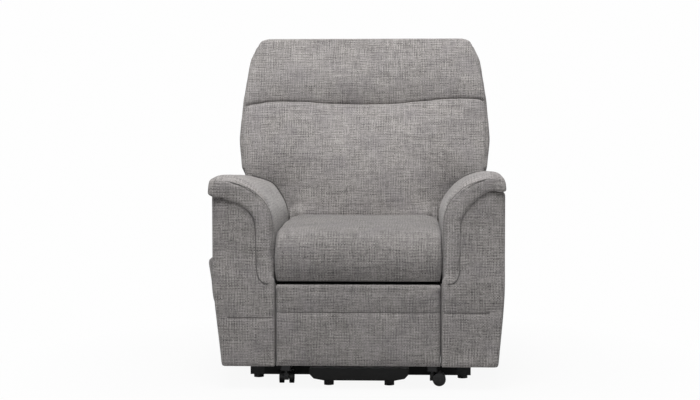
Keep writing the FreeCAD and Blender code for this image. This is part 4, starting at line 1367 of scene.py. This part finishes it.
@dataclass
class Arm:
    """One upholstered arm: its boxed body, the pad that rolls over it, and their seams."""

    side: Side
    inner: float = 0.2495
    outer: float = 0.430
    lip: float = 0.440
    front: float = -0.441
    back: float = 0.104
    low: float = 0.071
    top: float = 0.640
    rise: float = 0.147
    flat: float = 0.390
    band: float = 0.045
    band_top: float = 0.045
    hem: float = 0.586
    wing_back: float = 0.364
    wing_inner: float = 0.3955
    taper: float = 0.022
    taper_top: float = 0.33
    seam: float = 0.234
    lift: float = 0.013
    lift_span: float = 0.035
    shoulder: float = 0.0
    lip_in: float = 0.006
    lip_band: Flat = (-0.022, 0.023)
    pad_low: float = 0.318
    # The place and size of the dark tube that paints the shadow between the arm's rear end and the back.
    back_shadow_in: float = 0.014
    back_shadow_size: Flat = (0.0026, 0.0014)
    low_radius: float = 0.0013
    edge_radius: float = 0.0012
    band_radius: float = 0.0015
    front_drop: float = 0.0185
    rear_drop: float = 0.018
    rear_arch: float = 0.005
    recess: float = 0.0095
    foot_back: float = 0.0075
    drawn_in: float = 0.0018
    draw_reach: float = 0.26
    bend: tuple = ((0.400, 0.596), (0.3860, 0.5965), (0.3686, 0.5935), (0.3500, 0.5865), (0.3340, 0.5760),
                   (0.3220, 0.5620), (0.3130, 0.5430), (0.3070, 0.5180), (0.3035, 0.4950), (0.3025, 0.4650),
                   (0.3020, 0.4300), (0.3015, 0.3900), (0.3010, 0.3600), (0.2990, 0.3460), (0.2940, 0.3330),
                   (0.2860, 0.3250), (0.2770, 0.3205), (0.2660, 0.3190))
    fold: list = field(default_factory=list)

    def build(self) -> list[bpy.types.Object]:
        """Build and dress the arm.

        Returns:
            The pad first, then the body, the seams and the dark tubes and strip of painted shade.
        """
        word = self.side.name.lower()
        body = self.body(f"arm_cover_{word}")
        roll = self.pad(f"arm_pad_cover_{word}")
        self.shape_pad(roll)
        finish_piece(body, CLOTH, "chassis", [f"arm_{word}"])
        finish_piece(roll, PAD_CLOTH, "chassis", [f"arm_pad_{word}"])
        # The low seam's dark tube paints the shade in the seam's crease.
        return [roll, body, welt(f"arm_low_seam_{word}", self.fold, self.low_radius, SHADOW_SEAM,
                                 "chassis"),
                self.edge_seam(f"arm_edge_seam_{word}"), self.band_painted_shadow(f"arm_band_fold_{word}", body),
                StitchRow().beside(f"arm_low_stitches_{word}", body, self.fold[1:-1], "chassis"),
                self.tuck(f"arm_rear_tuck_{word}"), self.back_gap_shadow(f"arm_back_fold_{word}", roll),
                self.gap_shadow_strip(f"arm_front_lining_{word}")]

    def placed(self, x: float, z: float, y: float) -> Point:
        """The point of a section at a depth, on this arm's side."""
        return (self.side.value * x, y, z)

    def box(self, outer: float, front: float, behind: float, low: float, high: float) -> tuple:
        """A box's two corners on this arm's side, from its inner face out to an outer one."""
        ends = sorted((self.side.value * self.inner, self.side.value * outer))
        return (ends[0], front, low), (ends[1], behind, high)

    def edge_seam(self, name: str) -> bpy.types.Object:
        """The seam round the front edge of the pad, as a dark tube that paints in the seam's shade.

        Args:
            name: the piece's name.

        Returns:
            The piece.
        """
        x, z = np.array(self.hook()[2:21]).T
        z = self.settled(x, self.front + 0.004, z, 0.0045)
        x = x + 0.0035 * (x < 0.30) - (self.lip_in + 0.002) * self.outermost(x)
        line = [Vector(self.placed(a, b, self.front - 0.0005)) for a, b in zip(x, z)]
        return welt(name, resampled(line, 0.01), self.edge_radius, EDGE_SEAM, "chassis")

    def band_painted_shadow(self, name: str, body: bpy.types.Object) -> bpy.types.Object:
        """A thin dark tube of painted shadow where the band round the arm's front meets the boxed face.

        Args:
            name: the piece's name.
            body: the boxed body that it lies on.

        Returns:
            The piece.
        """
        line = [Vector(self.placed(x, z, self.front)) for x, z in self.bend]
        laid = laid_on(body, resampled(line, 0.006), 0.0004)
        return welt(name, laid, self.band_radius, GROOVE, "chassis")

    def back_gap_shadow(self, name: str, roll: bpy.types.Object) -> bpy.types.Object:
        """A dark tube of painted shadow where the arm's rear end meets the back, laid round the end of its
        pad.

        Args:
            name: the piece's name.
            roll: the pad that it lies on.

        Returns:
            The piece.
        """
        x, z = np.array([(x, z) for x, z in self.hook()[7:21] if z > 0.44]).T
        z = self.settled(x, self.back, z)
        line = [Vector(self.placed(a, b, self.back - self.back_shadow_in)) for a, b in zip(x, z)]
        radius, lift = self.back_shadow_size
        return welt(name, hugged(roll, resampled(line, 0.008), lift), radius, SHADOW_SEAM, "chassis")

    def gap_shadow_strip(self, name: str) -> bpy.types.Object:
        """A narrow dark strip inside the arm, beside the edge of the leg rest: painted shade in the gap
        between them.

        Args:
            name: the piece's name.

        Returns:
            The piece.
        """
        edge, foot = self.inner - 0.0033, self.low + 0.002
        outline = [(edge, foot), (self.inner + 0.001, foot), (self.inner + 0.001, self.pad_low),
                   (edge, self.pad_low)]
        piece = bevelled(extruded(name, outline, -0.428, -0.398, self.placed), 0.0012)
        return finish_piece(piece, EDGE_SEAM, "chassis")

    def tuck(self, name: str) -> bpy.types.Object:
        """The cloth that closes the corner between the arm, the seat and the back.

        Args:
            name: the piece's name.

        Returns:
            The piece.
        """
        outline = [(0.244, 0.335), (0.300, 0.335), (0.300, 0.500), (0.288, 0.522), (0.264, 0.520),
                   (0.252, 0.500)]
        piece = extruded(name, outline, self.back - 0.010, self.back + 0.014, self.placed)
        Padding(0.005, 2, cap=0.001, fill=0.6, simulate=False).fill_out(piece)
        return finish_piece(piece, CLOTH, "chassis")

    def hook(self) -> list[Flat]:
        """The pad's section, over the top and down the inside of the arm.

        Returns:
            Points in |x| and z.
        """
        reach, drop = self.flat - self.inner, self.rise
        crest, bend = self.top - 0.001, 0.40
        outside = arc((self.flat, crest - drop), (reach, drop), 90, 180, 14)
        inside = arc((self.flat, crest - drop), (reach - self.band, drop - self.band_top), 180, 90, 12)
        lip = [(self.lip - 0.009, self.hem), (self.lip - 0.001, self.hem + 0.010),
               (self.lip, self.hem + 0.026), (self.lip - 0.003, 0.625), (self.lip - 0.016, 0.636),
               (self.lip - 0.03, crest)]
        foot = [(self.inner, bend), (self.inner, self.pad_low), (self.inner + self.band, self.pad_low),
                (self.inner + self.band, bend)]
        return lip + outside + foot + inside

    def pad(self, name: str) -> bpy.types.Object:
        """The padded roll over the arm, blown up as cloth.

        Args:
            name: the piece's name.

        Returns:
            The piece, not yet dressed.
        """
        piece = extruded(name, self.hook(), self.front + 0.004, self.back - 0.004, self.placed)
        Padding(0.0075, 4, 3.0, 0.008).fill_out(piece)
        fitted(piece, *self.box(self.lip + 0.003, self.front - 0.005, self.back, 0.312, self.top + 0.001))
        spots = coordinates(piece.data)
        spots[:, 2] -= self.drop(self.side.value * spots[:, 0], spots[:, 1], spots[:, 2])
        face = ramp(spots[:, 1], self.front + 0.03, -0.03)
        fade = 1 - ramp(spots[:, 2], 0.31, 0.13)
        spots[:, 1] += self.foot_back * face * fade ** 1.5
        place_vertices(piece.data, spots)
        return piece

    def shape_pad(self, piece: bpy.types.Object) -> None:
        """Give this arm's pad its own crest and its own lip, with a nearly level hem.

        Args:
            piece: the pad.
        """
        spots = coordinates(piece.data)
        x = self.side.value * spots[:, 0]
        spots[:, 2] += self.raised(x, spots[:, 1], spots[:, 2])
        spots[:, 0] -= self.side.value * self.lip_in * self.outermost(x)
        low, high = self.lip_band
        over = (spots[:, 2] - self.hem).clip(low, high)
        level = np.where(over > 0, over ** 1.35 / high ** 0.35, 0.0005) - over
        spots[:, 2] += level * ramp(x, 0.385, 0.03) * (spots[:, 2] > 0.55)
        fuller = np.exp(-((spots[:, 2] - self.hem - 0.010) / 0.010) ** 2)
        spots[:, 0] += self.side.value * 0.002 * fuller * ramp(x, 0.425, 0.015)
        place_vertices(piece.data, spots)

    def settled(self, x: np.ndarray, y: float, z: np.ndarray, sunk: float = 0.0) -> np.ndarray:
        """Where points of the section lie once the pad has its drop and its own crest.

        Args:
            x: distances from the middle plane.
            y: the depth that all of them share.
            z: heights.
            sunk: how far they then lie under the pad's top.

        Returns:
            The new heights.
        """
        depth = np.full(len(x), y)
        z = z - self.drop(x, depth, z) - sunk
        return z + self.raised(x, depth, z)

    def outermost(self, x: np.ndarray) -> np.ndarray:
        """The share of the pad's outer lip at a distance from the middle plane."""
        return ramp(x, 0.418, 0.022)

    def upper(self, z: np.ndarray) -> np.ndarray:
        """The share of the pad's rounded top at a height."""
        return ramp(z, 0.46, 0.12)

    def raised(self, x: np.ndarray, y: np.ndarray, z: np.ndarray) -> np.ndarray:
        """How far this arm's crest stands over the plain pad, mostly inside and to the rear.

        Args:
            x: distances from the middle plane.
            y: depths.
            z: heights.

        Returns:
            The rise at each place.
        """
        inside = ramp(x, 0.4405, -self.lift_span)
        behind = ramp(y, self.front, 0.3)
        hump = self.shoulder * np.exp(-((x - 0.292) / 0.036) ** 2) * behind
        return self.upper(z) * (self.lift * inside * (0.72 + 0.28 * behind) + hump)

    def drop(self, x: np.ndarray, y: np.ndarray, z: np.ndarray) -> np.ndarray:
        """How far the pad's top lies under its section: at its front edge, and gently to the rear.

        Args:
            x: distances from the middle plane.
            y: depths.
            z: heights.

        Returns:
            The drop at each place.
        """
        arch = np.sin(math.pi * ramp(x, 0.25, 0.185)) ** 0.8
        near = (1 - ramp(y, self.front, 0.045)) ** 2
        rear = ramp(y, self.front + 0.05, self.back - self.front - 0.05)
        behind = (self.rear_drop + self.rear_arch * arch) * rear
        return self.upper(z) * (self.front_drop * arch * near + behind)

    def body(self, name: str) -> bpy.types.Object:
        """The arm's boxed body with the thin side panel behind it.

        Args:
            name: the piece's name.

        Returns:
            The piece, not yet dressed.
        """
        reach = self.flat - self.inner
        arch = arc((self.flat, self.top - self.rise), (reach - 0.030, self.rise - 0.044), 90, 180, 12)
        section = ([(self.inner, self.low), (self.outer, self.low), (self.outer, 0.588)] + arch
                   + [(self.inner + 0.030, 0.38), (self.inner, 0.33)])
        box = extruded(name + "_box", section, self.front + 0.001, self.back, self.placed)
        wing = [(self.back - 0.06, self.low), (self.wing_back, self.low), (self.wing_back, 0.435),
                (self.wing_back - 0.05, 0.468), (self.back + 0.02, 0.580), (self.back - 0.06, 0.584)]
        panel = extruded(name + "_wing", wing, self.wing_inner, self.outer,
                         lambda y, z, x: self.placed(x, z, y))
        piece = joined(name, [box, panel])
        Padding(0.0052, 2, cap=0.001, fill=0.9, simulate=False).fill_out(piece)
        fitted(piece, *self.box(self.outer + 0.0055, self.front, self.wing_back, self.low - 0.001, 0.598))
        self.shape_front(piece)
        return piece

    def near(self, y: float) -> float:
        """How near the arm's front a depth is, from 0, behind, to 1, at the front."""
        return 1 - step_up(y, self.front, self.front + self.draw_reach)

    def drawn(self, x: float, y: float, z: float) -> float:
        """How far the lower front of the arm's outer side is drawn in.

        Args:
            x: the distance from the middle plane.
            y: the depth.
            z: the height.

        Returns:
            How far that place is drawn in.
        """
        under = 1 - step_up(z, self.low - 0.09, self.taper_top)
        return self.taper * under * self.near(y) * step_up(x, 0.30, self.outer)

    def shape_front(self, piece: bpy.types.Object) -> None:
        """Recess the front under the roll, draw the lower outer corner in, and sink the low seam.

        Args:
            piece: the boxed body.
        """
        spots = coordinates(piece.data)
        sign = self.side.value
        for spot in spots:
            x, y, z = sign * spot[0], spot[1], spot[2]
            if self.near(y) <= 0:
                continue
            spot[0] -= sign * self.drawn(x, y, z)
            face = 1 - step_up(y, self.front, self.front + 0.05)
            spot[1] += self.recess * face * step_up(z, 0.29, 0.42)
        squared(spots, self.low - 0.001, sign * self.inner)
        creased(spots, self.front, self.seam, self.drawn_in)
        place_vertices(piece.data, spots)
        line = [Vector((sign * x, self.front, self.seam))
                for x in np.linspace(self.inner + 0.006, self.flat, 12)]
        self.fold = sunk_seam(piece, line)


# ------------------------------------------------------------------------------------ leg rest
@dataclass
class LegRest:
    """The padded leg rest panel with one seam across."""

    half: float = 0.2452
    front: float = -0.441
    behind: float = -0.4085
    low: float = 0.071
    top: float = 0.3165
    seam: float = 0.234
    seam_radius: float = 0.0017
    drawn_in: float = 0.0042
    squareness: float = 0.7

    def build(self) -> list[bpy.types.Object]:
        """Build and dress the panel.

        Returns:
            The panel, its stitches and its seam, a dark tube of painted shade.
        """
        outline = [(-self.half, self.low), (self.half, self.low), (self.half, self.top),
                   (-self.half, self.top)]
        piece = extruded("leg_rest_cover", outline, self.front + 0.004, self.behind)
        Padding(0.0055, 1, 3.0, 0.002).fill_out(
            piece, lambda spots: ramp(spots[:, 1], self.front + 0.008, 0.008))
        fitted(piece, (-self.half, self.front, self.low), (self.half, self.behind, self.top))
        self.shape(piece)
        reach = self.half - 0.004
        line = [Vector((x, self.front, self.seam)) for x in np.linspace(-reach, reach, 30)]
        fold = sunk_seam(piece, line)
        stitches = StitchRow().beside("leg_rest_stitches", piece, line[1:-1], "footrest")
        finish_piece(piece, PANEL_CLOTH, "footrest", ["footrest_pad"])
        # The seam's dark tube paints the shade in its crease.
        return [piece, stitches, welt("leg_rest_seam", fold, self.seam_radius, SHADOW_SEAM, "footrest")]

    def shape(self, piece: bpy.types.Object) -> None:
        """Square the panel's lower corners, draw it in at its seam, and square its top front edge.

        Args:
            piece: the filled panel.
        """
        spots = coordinates(piece.data)
        for side in (self.half, -self.half):
            squared(spots, self.low, side)
        creased(spots, self.front, self.seam, self.drawn_in)
        upper = ramp(spots[:, 2], self.top - 0.020, 0.006) * (spots[:, 2] < self.top - 0.0012)
        near = spots[:, 1] < self.front + 0.014
        spots[:, 1] += (self.front - spots[:, 1]) * self.squareness * upper * near
        place_vertices(piece.data, spots)


# ------------------------------------------------------------------------------------ other covers
@dataclass
class SolidCovers:
    """Covers that follow the frame's own solids: the rear valance, the handset's pocket and its case."""

    nodes: dict
    arm: Arm

    def build(self) -> list[bpy.types.Object]:
        """Build and dress the three covers."""
        return [self.cover("rear_valance", "rear_valance_cover", 0.005), self.pouch(), self.handset()]

    def handset(self) -> bpy.types.Object:
        """The handset's case: thick at the keys, slim at its foot, with rounded edges.

        Returns:
            The piece.
        """
        low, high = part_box("handset_case")
        middle, half = (low.y + high.y) / 2, (high.y - low.y) / 2
        outline = [(high.x, low.z), (high.x, high.z), (low.x, high.z), (low.x, high.z - 0.060),
                   (low.x + 0.0055, low.z)]
        piece = extruded("handset_case_shell", outline, middle - half, middle + half)
        bevelled(piece, 0.0035, 4, "NONE")
        return finish_piece(piece, PLASTIC, "handset", ["handset_case"])

    def pouch(self) -> bpy.types.Object:
        """The handset's pouch: cloth that gapes at its mouth and runs out flush below.

        Returns:
            The piece.
        """
        low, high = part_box("handset_pocket")
        middle, half = (low.y + high.y) / 2, (high.y - low.y) / 2 + 0.004
        wide, tall, skin = 36, 26, 0.0028
        heights = [low.z - 0.062, low.z - 0.03, low.z + 0.004, high.z - 0.062, high.z - 0.022,
                   high.z - 0.008, high.z + 0.002, high.z + 0.008]
        gapes = [0.0005, 0.0055, 0.0130, 0.0180, 0.0245, 0.0262, 0.0245, 0.0170]
        outer, inner = [], []
        for row in range(tall + 1):
            share = row / tall
            z = high.z + 0.008 - (high.z - low.z + 0.070) * share
            depth = np.interp(z, heights, gapes)
            for column in range(wide + 1):
                turn = 2 * column / wide - 1
                sag = -0.006 * (1 - turn * turn) * (1 - share) ** 3
                out = max(0.0, depth * (1 - abs(turn) ** 5) ** 0.9)
                y = middle + half * turn
                side = high.x + self.arm.drawn(0.43, y, z) * (1 - step_up(z, low.z - 0.03, low.z + 0.03))
                outer.append((side - out, y, z + sag))
                inner.append((side - max(0.0, out - skin) + 0.001, middle + half * turn * 0.985, z + sag))
        faces = self.doubled(wide + 1, tall, len(outer))
        piece = smooth(recalculated(mesh_object("handset_pocket_cover", outer + inner, faces)))
        return finish_piece(piece, CLOTH, "chassis", ["handset_pocket"])

    def doubled(self, count: int, tall: int, size: int) -> list[tuple]:
        """The faces of two grids of points that are closed round their rims.

        Args:
            count: the points in a row.
            tall: the number of rows of faces.
            size: the points in one grid.

        Returns:
            The faces of the outer grid, of the inner one, and of the four rims.
        """
        wide = count - 1
        quads = [(r * count + c, r * count + c + 1, (r + 1) * count + c + 1, (r + 1) * count + c)
                 for r in range(tall) for c in range(wide)]
        faces = quads + [tuple(size + k for k in quad[::-1]) for quad in quads]
        faces += [(c, c + 1, size + c + 1, size + c) for c in range(wide)]
        faces += [(c + 1, c, size + c, size + c + 1) for c in range(tall * count, tall * count + wide)]
        for column in (0, wide):
            faces += [(r * count + column, (r + 1) * count + column, size + (r + 1) * count + column,
                       size + r * count + column) for r in range(tall)]
        return faces

    def cover(self, node: str, name: str, voxel: float) -> bpy.types.Object:
        """A rounded, dressed copy of one soft solid.

        Args:
            node: the frame's node.
            name: the piece's name.
            voxel: the remesh size.

        Returns:
            The piece.
        """
        low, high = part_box(node)
        piece = linked(name, self.nodes[node].data.copy())
        recalculated(piece)
        Padding(voxel, 3, cap=0.0015, fill=0.5, simulate=False).fill_out(piece)
        fitted(piece, low, high)
        return finish_piece(piece, CLOTH, "chassis", [node])


# ------------------------------------------------------------------------------------ hard parts
@dataclass
class HardParts:
    """The frame's own steel, plastic, rubber and wood, dressed by their slots."""

    nodes: dict
    record: dict

    LOOKS = {"black_paint": PAINT, "dark_steel": MECHANISM, "bright_steel": STEEL,
             "black_plastic": PLASTIC, "grey_plastic": GREY_PLASTIC, "black_rubber": RUBBER,
             "plywood": PLYWOOD, "cloth": CLOTH}

    def build(self) -> None:
        """Dress every node that stays."""
        slots = {part["node"]: part["material_slot"] for part in self.record["subparts"]}
        for name, piece in self.nodes.items():
            look = WEBBING if name == "back_webbing" else self.LOOKS.get(slots.get(name), MECHANISM)
            piece.data.materials.clear()
            piece.data.materials.append(look.material())
            LOG.info("%s dressed as %s", name, look.name)


# ------------------------------------------------------------------------------------ studio
@dataclass
class Studio:
    """The pale floor, the white surround, the soft lamps and the camera."""

    stand: Point = (0.145, -4.641, 0.8126)
    tilt: float = 86.678
    turn: float = 2.292
    roll: float = -0.076
    lens: float = 73.29
    lamps: tuple = (("key", (-0.25, -1.95, 4.6), 0.6, 2.4, 254.0), ("fill", (1.2, -4.4, 2.2), 0.6, 2.4, 4.0),
                    ("rear", (0.2, 3.6, 3.0), 0.6, 2.6, 34.0), ("left", (-4.2, 0.6, 2.2), 0.5, 2.2, 18.0),
                    ("right", (4.2, 0.6, 2.2), 0.5, 2.2, 18.0))

    def build(self) -> None:
        """Set the studio up."""
        self.world()
        self.floor()
        for name, spot, height, size, power in self.lamps:
            self.lamp(name, spot, (0.0, 0.0, height), size, power)
        self.camera()

    def world(self) -> None:
        """A white surround for the camera and for reflections, and a softer one for the light."""
        world = bpy.data.worlds.new("studio")
        bpy.context.scene.world = world
        world.use_nodes = True
        world.node_tree.nodes.clear()
        shade = Shader(world.node_tree)
        path = shade.node("ShaderNodeLightPath").outputs
        seen = shade.math("MAXIMUM", path["Is Camera Ray"], shade.math(
            "MAXIMUM", path["Is Glossy Ray"], path["Is Transmission Ray"]))
        light = shade.node("ShaderNodeBackground", {0: rgb(0.98, 0.99, 1.0), 1: 0.12})
        white = shade.node("ShaderNodeBackground", {0: rgb(0.99, 0.99, 0.99), 1: 1.0})
        both = shade.node("ShaderNodeMixShader", {0: seen, 1: light.outputs[0], 2: white.outputs[0]})
        shade.node("ShaderNodeOutputWorld", {"Surface": both.outputs[0]})

    def floor(self) -> None:
        """A pale floor that keeps the chair's shadow."""
        piece = mesh_object("studio_floor", [(-9, -9, 0), (9, -9, 0), (9, 9, 0), (-9, 9, 0)], [(0, 1, 2, 3)])
        made, shade, surface = new_material("pale_floor")
        surface.inputs["Base Color"].default_value = rgb(0.5, 0.5, 0.5)
        surface.inputs["Roughness"].default_value = 0.9
        path = shade.node("ShaderNodeLightPath").outputs
        glow = shade.node("ShaderNodeEmission", {0: rgb(0.99, 0.99, 0.99), 1: 1.0})
        spot = shade.node("ShaderNodeTexCoord").outputs["Object"]
        away = shade.node("ShaderNodeVectorMath", {0: spot}, operation="LENGTH").outputs["Value"]
        keep = shade.node("ShaderNodeMapRange", {0: away, 1: 0.35, 2: 1.2, 3: 0.93, 4: 1.0}).outputs[0]
        share = shade.math("MULTIPLY", path["Is Camera Ray"], keep)
        both = shade.node("ShaderNodeMixShader", {0: share, 1: surface.outputs[0], 2: glow.outputs[0]})
        end = next(node for node in made.node_tree.nodes if node.type == "OUTPUT_MATERIAL")
        made.node_tree.links.new(both.outputs[0], end.inputs["Surface"])
        piece.data.materials.append(made)

    def lamp(self, name: str, spot: Point, target: Point, size: float, power: float) -> None:
        """One square soft lamp.

        Args:
            name: its name.
            spot: where it hangs.
            target: what it points at.
            size: its side in metres.
            power: its power in watts.
        """
        light = bpy.data.lights.new(name, "AREA")
        light.shape, light.size, light.energy = "SQUARE", size, power
        piece = linked(name, light)
        piece.location = spot
        way = Vector(target) - Vector(spot)
        piece.rotation_euler = way.to_track_quat("-Z", "Y").to_euler()

    def camera(self) -> None:
        """The camera in front of the chair, a little to its right."""
        made = bpy.data.cameras.new("camera")
        made.lens, made.sensor_width = self.lens, 36.0
        piece = linked("camera", made)
        piece.location = self.stand
        aimed = Euler((math.radians(self.tilt), 0.0, math.radians(self.turn))).to_matrix()
        piece.rotation_euler = (aimed @ Matrix.Rotation(math.radians(self.roll), 3, "Z")).to_euler()
        bpy.context.scene.camera = piece


def main() -> None:
    """Build and dress the whole chair round the frame."""
    logging.basicConfig(level=logging.INFO, format="%(message)s")
    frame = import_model()
    nodes, record = frame["nodes"], frame["record"]
    Studio().build()
    HardParts(nodes, record).build()
    hinge = next(joint for joint in frame["joints"] if joint["name"] == "back_recline")["pos_m"]
    SeatCushion().build()
    Backrest(LeanedFrame(hinge[1], hinge[2]), nodes).build()
    Arm(Side.RIGHT).build()
    left = Arm(Side.LEFT, seam=0.2176, taper=0.031, taper_top=0.38, lift=0.001, lip_in=-0.003, shoulder=0.012,
               band_top=0.062, hem=0.576, bend=LEFT_BEND, back_shadow_size=(0.0034, 0.0030))
    left.build()
    LegRest().build()
    SolidCovers(nodes, left).build()
    bpy.context.scene.view_settings.view_transform = "Standard"


if __name__ == "__main__":
    main()
